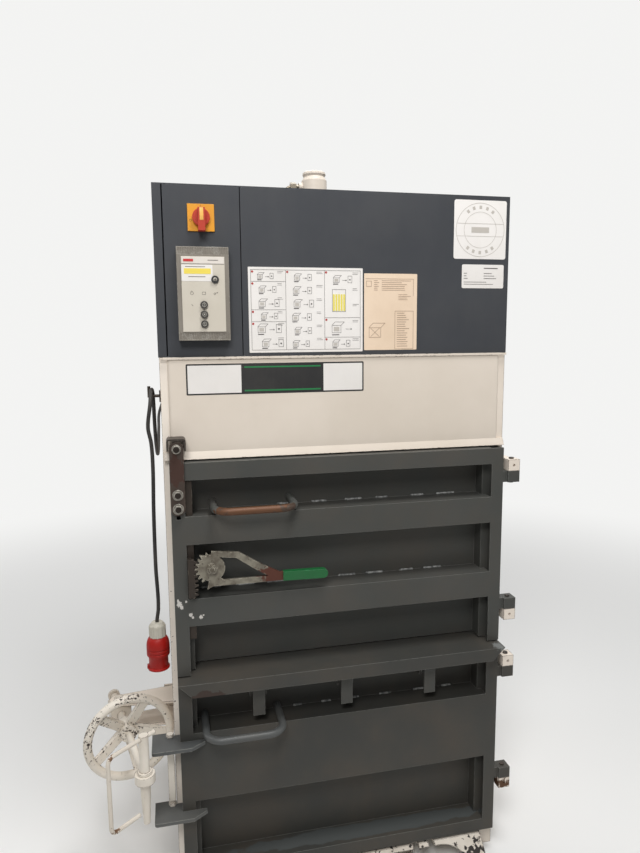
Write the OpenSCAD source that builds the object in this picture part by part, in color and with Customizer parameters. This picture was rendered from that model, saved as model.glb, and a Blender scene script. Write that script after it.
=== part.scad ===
// Vertical recycling baler with a filling door, a bale door and a hood over the hydraulics.
// X is to the right seen from the front, Y goes into the depth, Z is up, all in millimetres.

/* [Body] */
// Width over the side walls
body_w = 970; // [860:1:1200]
// Depth from the front face to the back face
body_d = 700; // [620:1:900]
// Height of the white body under the hood
body_h = 1558; // [1500:1:1700]
// Clear width of the press chamber
chamber_w = 800; // [700:1:860]
// How much wider than the chamber its mouth is, at each side
mouth_step = 34; // [0:1:40]
// Thickness of the chamber sheets
sheet_t = 5; // [4:0.5:8]
// Depth of the front and rear posts
post_d = 60; // [50:1:90]
// Height of a side rib
side_rib_h = 60; // [40:1:90]
// Top of the floor plate
floor_z = 76; // [60:1:110]
// Thickness of the floor plate
floor_t = 12; // [8:1:20]
// How far the floor plate stands out under the bale door
lip_out = 42; // [36:1:50]
// Radius of the rounded corners in the front apron
apron_r = 87; // [60:1:92]
// Length of the sloping lip
lip_w = 854; // [820:2:900]
// Height of the lip's edge above the arch
lip_edge = 13; // [10:1:20]
// Width of the lip's two feet
lip_foot = 50; // [40:1:70]
// Width of a strap slot in the floor lip
strap_slot_w = 18; // [12:1:24]
// Distance between the two strap slots of a pair
strap_pitch = 50; // [40:1:70]
// Distance of each pair from the middle
strap_pair_x = 240; // [180:1:280]
// Space left behind the chamber for the back ribs
back_rib_d = 40; // [30:1:60]
// Height of a back rib
back_rib_h = 80; // [50:1:110]
// Width of the skids under the floor
skid_w = 50; // [40:1:70]

/* [Front band] */
// Height of the white band over the filling door
band_h = 267; // [200:1:300]
// How far the band stands out
band_out = 8; // [5:1:12]
// Thickness of the band sheet
band_t = 4; // [3:0.5:5]
// Distance of the band fold from the edge of the body
band_in = 20; // [12:1:30]
// Height of the flared lip at the bottom of the band
lip_h = 20; // [12:1:28]
// Reach of the flared lip
lip_reach = 9; // [5:1:12]

/* [Hood] */
// Height of the hood
hood_h = 432; // [380:1:500]
// Sheet of the hood
hood_t = 3; // [2:0.5:4]
// How far the hood stands out over the body
hood_over = 2; // [1:0.5:5]
// Width of the side return beside the control cover
return_w = 22; // [15:1:30]
// Gap beside the control cover
cover_gap = 3; // [2:0.5:5]
// Place of the seam between the two covers
seam_x = -269; // [-300:1:-200]
// Thickness of the deck under the hydraulics
deck_t = 3; // [2:0.5:6]

/* [Controls] */
// Width of the control box
box_w = 130; // [110:1:160]
// Height of the control box
box_h = 233; // [200:1:260]
// Depth of the control box
box_out = 28; // [20:1:40]
// Middle of the control box
box_x = -368; // [-390:1:-350]
// Middle of the control box above the deck of the hood
box_up = 156; // [140:1:180]
// Diameter of the push buttons
button_d = 19; // [16:0.5:21]
// Travel of the push buttons
button_travel = 3; // [2:0.5:4]
// Distance between the push buttons
button_pitch = 24; // [22:0.5:30]
// Side of the plate under the main switch
switch_side = 67; // [55:1:75]
// Middle of the main switch above the deck of the hood
switch_up = 347; // [320:1:380]
// Diameter of the main switch knob
knob_d = 44; // [36:1:50]
// Height of the grip on the main switch knob
grip_h = 22; // [14:1:30]

/* [Doors] */
// Distance of the door edges from the sides of the body
door_inset = 15; // [8:1:24]
// Depth of the door frames
frame_d = 39; // [30:1:50]
// Gap between the door frames and the posts
door_gap = 2; // [1.5:0.5:4]
// Width of a stile
stile_w = 36; // [34:1:50]
// Sheet of the door frames
door_t = 5; // [4:0.5:6]
// How far the door skin lies inside the chamber mouth
plug_in = 40; // [25:1:60]
// Side clearance of the door skin in the chamber mouth
plug_gap = 8; // [6:1:14]
// Gap between the band and the filling door
top_gap = 4; // [3:0.5:8]
// Height of the filling door
upper_h = 583; // [520:1:640]
// Gap between the two doors
mid_gap = 4; // [3:0.5:8]
// Gap between the floor plate and the bale door
foot_gap = 7; // [5:0.5:12]
// Height of the top rail of the filling door
rail_h = 46; // [36:1:60]
// Height of a rib on the filling door
rib_h = 76; // [60:1:90]
// Upper rib, from the top of the filling door to its top edge
rib_drop_1 = 143; // [120:1:170]
// Lower rib, from the top of the filling door to its top edge
rib_drop_2 = 368; // [340:1:400]
// Height of the ledge on the bale door
ledge_h = 38; // [30:1:50]
// How far the ledge stands in front of the door frame
ledge_out = 44; // [30:1:60]
// Height of the wide rib on the bale door
wide_rib_h = 202; // [160:1:230]
// Top edge of the wide rib below the top of the ledge
wide_rib_drop = 165; // [140:1:190]
// Height of the bottom rail of the bale door
foot_rail_h = 38; // [30:1:50]

/* [Hinges] */
// How far the hinge axis lies outside the body
hinge_out = 15; // [12:1:24]
// How far the hinge axis lies in front of the body
hinge_fwd = 30; // [26:1:40]
// Diameter of the hinge knuckles
knuckle_d = 36; // [30:1:40]
// Height of a hinge knuckle
knuckle_h = 33; // [26:1:40]
// Top of the first hinge below the top of the filling door
hinge_drop_1 = 35; // [30:1:60]
// Upper knuckle of the second hinge above the foot of the filling door
hinge_up_2 = 97; // [80:1:120]
// Top of the third hinge below the top of the bale door
hinge_drop_3 = 47; // [45:1:70]
// Upper knuckle of the fourth hinge above the foot of the bale door
hinge_up_4 = 171; // [140:1:200]
// Diameter of the hinge pins
pin_d = 14; // [10:1:18]
// Radial clearance of a pin or shaft that turns
run_gap = 0.05; // [0.03:0.01:0.09]
// Axial clearance between two knuckles
knuckle_gap = 0.3; // [0.2:0.1:0.8]

/* [Handles] */
// Diameter of the round bar of the door handles
handle_d = 20; // [16:1:24]
// Bend radius of the door handles
handle_r = 45; // [30:1:50]
// Middle of the filling door handle
handle_1_x = -253; // [-270:1:-240]
// Length of the filling door handle between its legs
handle_1_w = 214; // [160:1:240]
// Reach of the filling door handle from the door skin
handle_1_out = 125; // [100:1:135]
// Middle of the bale door handle
handle_2_x = -295; // [-300:1:-270]
// Length of the bale door handle between its legs
handle_2_w = 208; // [160:1:240]
// Reach of the bale door handle from the door skin
handle_2_out = 146; // [120:1:160]

/* [Lever latch] */
// Gear module of the toothed sector and its rack
tooth_m = 4; // [3:0.25:5]
// Teeth on a full circle of the sector
tooth_n = 20; // [18:1:24]
// Teeth that the sector really has
sector_teeth = 8; // [6:1:9]
// Play between the teeth, on the pitch line
backlash = 0.5; // [0.3:0.05:0.9]
// Thickness of the lever and the rack
lever_t = 8; // [6:1:10]
// Gap between the ribs and the lever
lever_gap = 7; // [6:0.5:10]
// Distance from the stile to the pitch line of the rack
rack_in = 23; // [15:0.5:26]
// Height of the lever pivot below the top of the filling door
pivot_drop = 282; // [270:1:290]
// Diameter of the lever stud
stud_d = 14; // [12:1:18]
// Width of the lever arms
arm_w = 15; // [11:1:18]
// Start of the grip beside the lever pivot
grip_x = 190; // [185:1:195]
// Middle of the grip below the lever pivot
grip_drop = 37.5; // [37:0.5:38]
// Length of the lever grip
grip_l = 124; // [100:1:130]
// Width of the lever grip
grip_w = 25; // [20:1:28]
// Thickness of the lever grip
grip_t = 17; // [14:1:18]
// Rack teeth below the lever's pivot
rack_low = 6; // [5:1:7]
// Rack teeth above the lever's pivot
rack_high = 2; // [2:1:4]
// Width of the slide bar
slide_w = 18; // [14:1:20]
// Thickness of the slide bar
slide_t = 12; // [8:1:14]
// Clearance of the slide bar in the ribs
slide_gap = 0.3; // [0.2:0.05:0.5]
// Width of the latch bar
latch_w = 36; // [30:1:38]
// Thickness of the latch bar
latch_t = 8; // [6:1:10]
// Length of the latch bar
latch_l = 194; // [170:1:210]
// How far the latch bar reaches over the door top
latch_over = 58; // [50:1:70]
// Bolt diameter of the latch bar
latch_bolt_d = 10; // [8:1:12]
// Side clearance of the latch bar in its keeper
keeper_gap = 1.5; // [1:0.25:3]
// Thickness of the keeper
keeper_t = 5; // [4:0.5:7]
// Length of the keeper legs
keeper_leg = 32; // [24:1:36]
// Gap between the latch bar and the top of its keeper
keeper_top_gap = 3; // [2:0.5:5]
// Angle of the lever from shut to open
lever_swing = 34; // [20:1:36]

/* [Bale door lock] */
// Thickness of the lock plates on the door
lock_plate_t = 10; // [8:1:14]
// Top of the upper lock plate, from the top of the bale door
lock_plate_drop = 185; // [178:1:192]
// Distance between the two lock plates
lock_plate_gap = 207; // [195:1:215]
// How far the lock plates reach past the body
lock_plate_out = 60; // [50:1:70]
// How far the lock plates stand in front of the door frame
lock_plate_fwd = 34; // [26:1:44]
// Side of the square bar between the lock plates
lock_bar_w = 18; // [14:1:20]
// Gap between the body and the square bar
lock_bar_gap = 3; // [2:0.5:5]
// Bolt diameter of the square bar
lock_bolt_d = 12; // [10:1:14]
// Swing axis of the lock arm beside the body
arm_out = 163; // [150:1:175]
// Swing axis of the lock arm behind the front face
arm_back = 225; // [215:1:240]
// Middle of the spindle, from the top of the bale door
spindle_drop = 224; // [218:1:230]
// Travel of the eye towards the handwheel as the lock is drawn tight
lock_travel = 10; // [6:1:12]
// Length of the plain spindle behind the handwheel
spindle_l = 200; // [180:1:210]
// Length from the swing axis to the locking pin
arm_l = 346; // [340:1:352]
// Angle at which the lock arm rests, to the depth of the machine
arm_a = 14.4; // [12:0.1:18]
// Diameter of the spindle
spindle_d = 24; // [20:1:28]
// Diameter of the locking pin
lock_pin_d = 26; // [22:1:28]
// Top of the locking pin above the spindle
lock_pin_up = 118; // [110:1:126]
// Foot of the locking pin below the spindle
lock_pin_down = 130; // [110:1:140]
// Diameter of the eye that carries the locking pin
eye_d = 53; // [46:1:58]
// Thickness of the eye
eye_t = 22; // [16:1:26]
// Diameter of the bow handle
bow_d = 11; // [8:1:13]
// Reach of the bow handle
bow_r = 108; // [90:1:120]
// Height of the bow handle
bow_h = 205; // [180:1:220]
// Side of the lock bracket along the body
bracket_l = 118; // [100:1:130]
// Thickness of the bracket plates
bracket_t = 8; // [6:1:12]
// Clear height between the bracket plates
bracket_gap = 60; // [52:1:70]
// Side of the trunnion block
trunnion_w = 60; // [50:1:66]
// Diameter of the trunnion pins
trunnion_pin_d = 20; // [16:1:24]
// Height of the bow handle rod below the top of the locking pin
bow_drop = 8; // [7:0.5:12]

/* [Handwheel] */
// Diameter of the handwheel
wheel_d = 255; // [220:1:265]
// Thickness of the rim
rim_d = 24; // [18:1:28]
// Distance from the locking pin to the plane of the rim
rim_s = 196; // [180:1:205]
// How far the hub lies behind the rim
dish = 44; // [30:1:50]
// Diameter of the hub
hub_d = 48; // [40:1:56]
// Length of the hub
hub_l = 58; // [50:1:62]
// Number of spokes
spokes = 5; // [3:1:6]
// Width of a spoke
spoke_w = 24; // [18:1:28]
// Depth of a spoke
spoke_t = 15; // [11:1:18]
// Wall of the hollow spoke
spoke_wall = 5; // [3:0.5:6]

/* [Press] */
// Outer diameter of the cylinder
cyl_d = 78; // [76:1:96]
// Bore of the cylinder
bore_d = 70; // [60:1:74]
// Diameter of the piston rod
rod_d = 40; // [32:1:45]
// Stroke of the piston
stroke = 575; // [500:1:575]
// Length of the piston
piston_l = 30; // [24:1:40]
// Length of the cylinder gland
gland_l = 38; // [28:1:44]
// Thickness of the cylinder cap
cap_l = 27; // [20:1:34]
// Space over the piston at the top
top_space = 13; // [10:1:26]
// Middle of the cylinder, in the depth
cyl_y = -15; // [-30:1:10]
// Height of the beam that carries the cylinder
beam_h = 128; // [110:1:140]
// Width of the beam that carries the cylinder
beam_w = 160; // [130:1:180]
// Side of the cylinder flange
flange_w = 150; // [130:1:158]
// Thickness of the cylinder flange
flange_t = 20; // [14:1:24]
// Thickness of the press plate
platen_t = 12; // [8:1:16]
// Gap between the press plate and the chamber
platen_gap = 10; // [8:1:16]
// Height of the ribs on the press plate
platen_rib_h = 70; // [50:1:80]
// Thickness of the ribs on the press plate
platen_rib_t = 8; // [6:1:10]
// Width of a strap channel in the press plate
strap_w = 24; // [16:1:30]
// Clearance of the guide pads
pad_gap = 0.3; // [0.2:0.05:0.6]

/* [Bale claws] */
// Width of a claw
claw_w = 33; // [26:1:40]
// Thickness of a claw
claw_t = 8; // [6:1:10]
// Distance between the claws
claw_pitch = 252; // [220:1:262]
// Length of the hanging strap
claw_drop = 75; // [60:1:85]
// Reach of a claw into the chamber
claw_in = 42; // [30:1:50]
// Diameter of the claw pins
claw_pin_d = 12; // [10:1:14]
// Distance of the claw pin below the ledge
claw_pin_down = 37; // [34:1:42]
// Thickness of a claw ear
ear_t = 6; // [5:1:8]

/* [Power pack] */
// Width of the oil tank
tank_w = 290; // [240:1:300]
// Depth of the oil tank
tank_d = 260; // [220:1:280]
// Height of the oil tank
tank_h = 190; // [150:1:200]
// Diameter of the motor
motor_d = 150; // [120:1:160]
// Length of the motor
motor_l = 185; // [150:1:190]
// Cooling fins on the motor
fins = 24; // [16:1:32]
// Side of the valve block
valve_w = 64; // [50:1:70]
// Height of the valve block
valve_h = 110; // [80:1:130]
// Diameter of the pressure pipe
pipe_d = 10; // [8:1:14]
// Bend radius of the pressure pipe
pipe_r = 24; // [20:1:30]
// Distance of the pipe's bend from the cylinder
pipe_out = 30; // [28:1:40]
// Diameter of the return hose
hose_d = 14; // [12:1:18]
// Distance of the pipe port from the middle of the valve block
port_in = 14; // [4:1:18]
// Width of the switch box
ebox_w = 150; // [120:1:160]
// Depth of the switch box
ebox_d = 120; // [90:1:140]
// Height of the switch box
ebox_h = 280; // [220:1:320]

/* [Mains cable] */
// Diameter of the mains cable
cable_d = 10; // [8:0.5:12]
// Diameter of the plug
plug_d = 62; // [56:1:64]
// Length of the plug
plug_l = 92; // [84:1:100]
// Diameter of the plug nut
plug_nut_d = 42; // [36:1:48]
// Length of the plug nut
plug_nut_l = 40; // [32:1:46]

/* [Hidden] */
$fn = 48;
eps = 0.01;

// Places taken from the sizes above
yf = -body_d / 2;
yb = body_d / 2;
bw = body_w / 2;
cw = chamber_w / 2;
mouth_x = cw + mouth_step;
floor_low = floor_z - floor_t;
band_z = body_h - band_h;
door_back = yf - door_gap;
door_front = door_back - frame_d;
skin_front = yf + plug_in - sheet_t;
skin_back = yf + plug_in;
plug_x = mouth_x - plug_gap;
dw = bw - door_inset;
ud_z1 = band_z - top_gap;
ud_z0 = ud_z1 - upper_h;
ld_z1 = ud_z0 - mid_gap;
ld_z0 = floor_z + foot_gap;
lower_h = ld_z1 - ld_z0;
hx = bw + hinge_out;
hy = yf - hinge_fwd;
side_ribs = [floor_low, ld_z1, (ld_z1 + body_h) / 2 - side_rib_h / 2, body_h - side_rib_h];
back_ribs = [250, 700, 1150];
back_skin = yb - back_rib_d - sheet_t;

// Filling door
rib1_z = ud_z1 - rib_drop_1 - rib_h;
rib2_z = ud_z1 - rib_drop_2 - rib_h;
handle_1_z = rib1_z + rib_h + handle_d;

// Bale door
ledge_z = ld_z1 - ledge_h;
wide_z = ld_z1 - wide_rib_drop - wide_rib_h;
handle_2_z = wide_z + wide_rib_h + handle_d / 2 + 2;

// Hinges, from the top down
white_1 = ud_z1 - hinge_drop_1 - knuckle_h;
grey_1 = white_1 - knuckle_gap - knuckle_h;
grey_2 = ud_z0 + hinge_up_2;
white_2 = grey_2 - knuckle_gap - knuckle_h;
white_3 = ld_z1 - hinge_drop_3 - knuckle_h;
grey_3 = white_3 - knuckle_gap - knuckle_h;
grey_4 = ld_z0 + hinge_up_4;
white_4 = grey_4 - knuckle_gap - knuckle_h;

// Lever latch
pitch_r = tooth_m * tooth_n / 2;
base_r = pitch_r * cos(20);
tip_r = pitch_r + 0.95 * tooth_m;
root_r = pitch_r - 1.25 * tooth_m;
tooth_pitch = PI * tooth_m;
rack_x = -dw + stile_w + rack_in;
pivot_x = rack_x + pitch_r;
pivot_z = ud_z1 - pivot_drop;
lever_back = door_front - lever_gap;
lever_front = lever_back - lever_t;
slide_x = -dw + stile_w + 1;
slide_front = door_back - door_t - slide_t - 11;
slide_back = slide_front + slide_t;
latch_travel = pitch_r * lever_swing * PI / 180;
latch_x = -dw + latch_w / 2 + 1;
latch_top = ud_z1 + latch_over;
latch_bottom = latch_top - latch_l;
latch_back = door_front - 2;
latch_front = latch_back - latch_t;
bolt_z = [latch_bottom + 18, latch_bottom + 55];
boss_z = latch_top - 19;
keeper_in = latch_w / 2 + keeper_gap;

// Bale door lock
spindle_z = ld_z1 - spindle_drop;
plate_1 = ld_z1 - lock_plate_drop - lock_plate_t;
plate_2 = plate_1 - lock_plate_gap;
plate_front = door_front - lock_plate_fwd;
bar_x = -bw - lock_bar_gap - lock_bar_w / 2;
bar_y = yf - 6;
arm_x = -bw - arm_out;
arm_y = yf + arm_back;
pin_x = arm_x + arm_l * sin(arm_a);
pin_y = arm_y - arm_l * cos(arm_a);
bow_a = 40.5;
wheel_r = (wheel_d - rim_d) / 2;
hub_s = rim_s + dish;

// Press
beam_z = body_h - beam_h;
cyl_low = beam_z;
cyl_top = cyl_low + gland_l + stroke + piston_l + top_space + cap_l - 1;
piston_z = cyl_low + gland_l + stroke;
platen_z = ud_z1 - 2;
platen_front = skin_back + platen_gap;
platen_back = back_skin - platen_gap;
boss_top = platen_z + platen_t + platen_rib_h + 15;

// Claws
claw_pin_y = skin_front - 45;
claw_pin_z = ledge_z - claw_pin_down;
claw_arm_z = claw_pin_z + 8;
slot_low = claw_pin_z - 27;
slot_high = claw_arm_z + claw_t + 5;

// Hood
hood_x = bw + hood_over;
hood_y = body_d / 2 + hood_over;
hood_z = body_h + hood_h;
deck_z = body_h + deck_t;
cover_l = -hood_x + return_w + cover_gap;
port_z = cyl_top - cap_l - 18;
pipe_x = -cyl_d / 2 - pipe_out - pipe_r;
valve_x = pipe_x - port_in;
tank_x = cw - 20 - tank_w;
tank_y = yb - 50 - tank_d;

module plate_x(x0, x1, y0, y1, z0, z1) {
  translate([x0, y0, z0]) cube([x1 - x0, y1 - y0, z1 - z0]);
}

module rod_z(d, z0, z1) {
  translate([0, 0, z0]) cylinder(d = d, h = z1 - z0);
}

module rod_y(d, y0, y1) {
  translate([0, y0, 0]) rotate([-90, 0, 0]) cylinder(d = d, h = y1 - y0);
}

module rod_x(d, x0, x1) {
  translate([x0, 0, 0]) rotate([0, 90, 0]) cylinder(d = d, h = x1 - x0);
}

module hex_y(af, y0, y1) {
  translate([0, y0, 0]) rotate([-90, 0, 0]) cylinder(d = af / cos(30), h = y1 - y0, $fn = 6);
}

module hex_z(af, z0, z1) {
  translate([0, 0, z0]) cylinder(d = af / cos(30), h = z1 - z0, $fn = 6);
}

// Side walls: chamber sheet, two hollow posts and channel ribs between them
module side_wall() {
  difference() {
    plate_x(mouth_x, bw, yf, yf + post_d, 0, body_h);
    plate_x(mouth_x + sheet_t, bw - sheet_t, yf + sheet_t, yf + post_d - sheet_t, -1, body_h + 1);
  }
  plate_x(cw, mouth_x + 1, yf + post_d - sheet_t, yf + post_d, 0, body_h);
  difference() {
    plate_x(cw, bw, yb - post_d, yb, 0, body_h);
    plate_x(cw + sheet_t, bw - sheet_t, yb - post_d + sheet_t, yb - sheet_t, -1, body_h + 1);
  }
  plate_x(cw, cw + sheet_t, yf + post_d - 1, yb - post_d + 1, floor_low, body_h);
  for (z = side_ribs) {
    difference() {
      plate_x(cw + 1, bw, yf + post_d - 1, yb - post_d + 1, z, z + side_rib_h);
      plate_x(cw, bw - sheet_t, yf + post_d - 2, yb - post_d + 2, z + sheet_t, z + side_rib_h - sheet_t);
    }
  }
}

module side_wall_right() {
  color([0.84, 0.81, 0.76]) side_wall();
}

module side_wall_left() {
  color([0.84, 0.81, 0.76]) mirror([1, 0, 0]) side_wall();
}

module back_wall() {
  color([0.84, 0.81, 0.76]) {
    plate_x(-cw, cw, back_skin, back_skin + sheet_t, floor_z, body_h);
    for (z = back_ribs) {
      difference() {
        plate_x(-cw, cw, back_skin + sheet_t - 1, yb, z, z + back_rib_h);
        plate_x(-cw - 1, cw + 1, back_skin, yb - sheet_t, z + sheet_t, z + back_rib_h - sheet_t);
      }
    }
  }
}

// Floor plate with its lip, the strap slots in it, the front apron and two skids
lip_l = floor_z * sqrt(2) - sheet_t - 1;

module apron_outline() {
  x = lip_w / 2 - lip_foot;
  difference() {
    translate([-lip_w / 2, 0]) square([lip_w, lip_l]);
    difference() {
      translate([-x, -1]) square([2 * x, lip_l - lip_edge + 1]);
      for (s = [-1, 1]) difference() {
        translate([s > 0 ? x - apron_r : -x, lip_l - lip_edge - apron_r]) square([apron_r, apron_r + 1]);
        translate([s * (x - apron_r), lip_l - lip_edge - apron_r]) circle(r = apron_r);
      }
    }
  }
}

module base_floor() {
  color([0.8, 0.77, 0.72]) {
    difference() {
      union() {
        plate_x(-cw, cw, yf, back_skin + sheet_t, floor_low, floor_z);
        plate_x(-mouth_x, mouth_x, yf, yf + post_d - sheet_t, floor_low, floor_z);
        plate_x(-lip_w / 2, lip_w / 2, yf - lip_out, yf, floor_low, floor_z);
        translate([0, yf - lip_out, floor_z]) rotate([45, 0, 0]) translate([0, -lip_l, -sheet_t])
          linear_extrude(sheet_t) apron_outline();
      }
      for (s = [-1, 1], k = [-0.5, 0.5]) {
        translate([s * strap_pair_x + k * strap_pitch, yf - lip_out, floor_low - 12]) {
          translate([-strap_slot_w / 2, -lip_edge - 9, 0]) cube([strap_slot_w, lip_edge + 27, floor_t + 14]);
          translate([0, 18, 0]) cylinder(d = strap_slot_w - 0.2, h = floor_t + 14);
        }
      }
    }
    for (s = [-1, 1]) {
      translate([s * cw / 2 - skid_w / 2, 0, 0]) difference() {
        plate_x(0, skid_w, yf + 10, back_skin, 0, floor_low);
        plate_x(sheet_t, skid_w - sheet_t, yf + 9, back_skin + 1, sheet_t, floor_low - sheet_t);
      }
    }
    difference() {
      plate_x(-cw / 2, cw / 2, -skid_w / 2, skid_w / 2, 0, floor_low);
      plate_x(-cw / 2 - 1, cw / 2 + 1, -skid_w / 2 + sheet_t, skid_w / 2 + 1, sheet_t, floor_low - sheet_t);
    }
  }
}

module top_beam() {
  color([0.78, 0.75, 0.7]) {
    difference() {
      plate_x(-cw, cw, cyl_y - beam_w / 2, cyl_y + beam_w / 2, beam_z, body_h);
      plate_x(-cw - 1, -cyl_d / 2 - 20, cyl_y - beam_w / 2 + 8, cyl_y + beam_w / 2 - 8, beam_z + 8, body_h - 8);
      plate_x(cyl_d / 2 + 20, cw + 1, cyl_y - beam_w / 2 + 8, cyl_y + beam_w / 2 - 8, beam_z + 8, body_h - 8);
      translate([0, cyl_y, 0]) rod_z(cyl_d + 1, beam_z - 1, body_h + 1);
    }
  }
}

// Band over the filling door: a folded sheet with rounded edges and a flared lip
module front_band() {
  fold = band_out;
  w = bw - band_in - fold;
  color([0.86, 0.83, 0.78]) {
    translate([0, yf, band_z + lip_h]) linear_extrude(band_h - lip_h) difference() {
      union() {
        translate([-w, -band_out]) square([2 * w, band_out]);
        for (s = [-1, 1]) intersection() {
          translate([s * w, 0]) circle(r = fold);
          translate([-bw, -fold]) square([2 * bw, fold]);
        }
      }
      translate([-w, -band_out + band_t]) square([2 * w, band_out]);
      for (s = [-1, 1]) translate([s * w, 0]) circle(r = fold - band_t);
    }
    translate([-bw + 3, yf, band_z]) rotate([90, 0, 90]) linear_extrude(2 * bw - 6)
      polygon([[0, 0], [-band_out - lip_reach, 0], [-band_out, lip_h], [0, lip_h]]);
    plate_x(-bw + 1, bw - 1, yf - band_out - 4, yf - band_out + 1, body_h - 6, body_h);
  }
}

module keeper() {
  w = keeper_in + keeper_t;
  top = latch_top + keeper_top_gap;
  color([0.45, 0.45, 0.44]) translate([latch_x, yf - band_out, 0]) rotate([90, 0, 0])
    linear_extrude(yf - band_out - latch_front + 3) difference() {
      union() {
        translate([-w, top + keeper_t - keeper_leg]) square([2 * w, keeper_leg - 8]);
        translate([-w + 8, top + keeper_t - 8.5]) square([2 * w - 16, 8.5]);
        for (s = [-1, 1]) translate([s * (w - 8), top + keeper_t - 8]) circle(r = 8);
      }
      translate([-keeper_in, top + keeper_t - keeper_leg - 1]) square([2 * keeper_in, keeper_leg - keeper_t + 1]);
    }
}

// Hood: sides, top and back in one folded shell
module hood_shell() {
  color([0.29, 0.3, 0.32]) difference() {
    plate_x(-hood_x, hood_x, -hood_y, hood_y, body_h, hood_z);
    plate_x(-hood_x + hood_t, hood_x - hood_t, -hood_y + hood_t, hood_y - hood_t, body_h - 1, hood_z - hood_t);
    plate_x(-hood_x + return_w, hood_x - hood_t, -hood_y - 1, -hood_y + hood_t + 1, body_h - 1, hood_z - hood_t);
    translate([0, cyl_y, 0]) rod_z(cyl_d + 8, hood_z - hood_t - 1, hood_z + 1);
    translate([pipe_x, cyl_y, 0]) rod_z(pipe_d + 12, hood_z - hood_t - 1, hood_z + 1);
    translate([-hood_x + 67, 0, body_h + 82]) rod_y(20, hood_y - hood_t - 1, hood_y + 1);
    for (i = [0 : 7]) plate_x(hood_x - hood_t - 1, hood_x + 1, -180 + i * 36, -164 + i * 36, hood_z - 150, hood_z - 70);
  }
}

module cover(x0, x1) {
  difference() {
    plate_x(x0, x1, -hood_y, -hood_y + 18, deck_z, hood_z - hood_t);
    plate_x(x0 + hood_t, x1 - hood_t, -hood_y + hood_t, -hood_y + 19, deck_z + hood_t, hood_z - 2 * hood_t);
  }
}

module control_cover() {
  color([0.3, 0.31, 0.33]) difference() {
    cover(cover_l, seam_x - 1);
    translate([box_x, 0, deck_z + switch_up]) rod_y(12 + 2 * run_gap, -hood_y - 1, -hood_y + hood_t + 1);
    translate([box_x - 12, 0, deck_z + box_up]) rod_y(24, -hood_y - 1, -hood_y + hood_t + 1);
  }
}

module front_cover() {
  color([0.3, 0.31, 0.33]) cover(seam_x + 1, hood_x - hood_t);
}

module deck_plate() {
  color([0.6, 0.6, 0.6]) difference() {
    plate_x(-hood_x + hood_t, hood_x - hood_t, -hood_y, hood_y - hood_t, body_h, deck_z);
    plate_x(-flange_w / 2 - 1, flange_w / 2 + 1, cyl_y - flange_w / 2 - 1, cyl_y + flange_w / 2 + 1, body_h - 1, deck_z + 1);
    plate_x(-hood_x, -hood_x + return_w, -hood_y - 1, -hood_y + hood_t, body_h - 1, deck_z + 1);
  }
}

// Control box on the narrow cover: a frame, a panel and the parts in it
box_z = deck_z + box_up;
panel_w = box_w - 22;
panel_h = box_h - 46;
panel_z = box_z - 1;
button_x = box_x;
button_z = [box_z - 27, box_z - 27 - button_pitch, box_z - 27 - 2 * button_pitch];
key_x = box_x + 29;
key_z = box_z + 36;
box_front = -hood_y - box_out;

module box_holes(extra) {
  for (z = button_z) translate([button_x, 0, z]) rod_y(button_d + 2 * run_gap + extra, box_front - 9, box_front + 6);
  translate([key_x, 0, key_z]) rod_y(button_d + 2 * run_gap + extra, box_front - 9, box_front + 6);
}

module control_box() {
  color([0.72, 0.7, 0.64]) difference() {
    plate_x(box_x - box_w / 2, box_x + box_w / 2, box_front, -hood_y, box_z - box_h / 2, box_z + box_h / 2);
    plate_x(box_x - box_w / 2 + 3, box_x + box_w / 2 - 3, box_front + 3, -hood_y + 1, box_z - box_h / 2 + 3, box_z + box_h / 2 - 3);
    box_holes(0);
    for (i = [-10 : 10]) for (s = [-1, 1])
      translate([box_x + i * 6 - 1.5, box_front - 1, box_z + s * (box_h / 2 - 11) - 8]) cube([3, 2, 16]);
  }
}

module control_panel() {
  color([0.75, 0.75, 0.72]) difference() {
    plate_x(box_x - panel_w / 2, box_x + panel_w / 2, box_front - 2, box_front, panel_z - panel_h / 2, panel_z + panel_h / 2);
    box_holes(0);
  }
}

module push_button(z, c) {
  color(c) translate([button_x, 0, z]) {
    rod_y(button_d, box_front - 7, box_front + 4);
    rod_y(button_d + 4, box_front + 3.2, box_front + 6);
    rod_y(8, box_front + 5, -hood_y - button_travel - 1);
  }
}

module button_up() {
  push_button(button_z[0], [0.1, 0.1, 0.1]);
}

module button_stop() {
  push_button(button_z[1], [0.1, 0.1, 0.1]);
}

module button_down() {
  push_button(button_z[2], [0.1, 0.1, 0.1]);
}

module key_switch() {
  color([0.15, 0.15, 0.15]) translate([key_x, 0, key_z]) difference() {
    union() {
      rod_y(button_d, box_front - 6, box_front + 4);
      rod_y(button_d + 4, box_front + 3.2, box_front + 14);
    }
    translate([-1.5, box_front - 7, -6]) cube([3, 5, 12]);
  }
}

switch_z = deck_z + switch_up;

module switch_plate() {
  color([0.85, 0.7, 0.1]) difference() {
    plate_x(box_x - switch_side / 2, box_x + switch_side / 2, -hood_y - 4, -hood_y,
      switch_z - switch_side / 2, switch_z + switch_side / 2);
    translate([box_x, 0, switch_z]) rod_y(12 + 2 * run_gap, -hood_y - 5, -hood_y + 1);
  }
}

module main_knob() {
  color([0.75, 0.1, 0.08]) translate([box_x, 0, switch_z]) {
    rod_y(knob_d, -hood_y - 14, -hood_y - 4.3);
    rod_y(12, -hood_y - 5, -hood_y + 30);
    translate([-9, -hood_y - 14 - grip_h, -36]) cube([18, grip_h + 1, 56]);
  }
}

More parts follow.
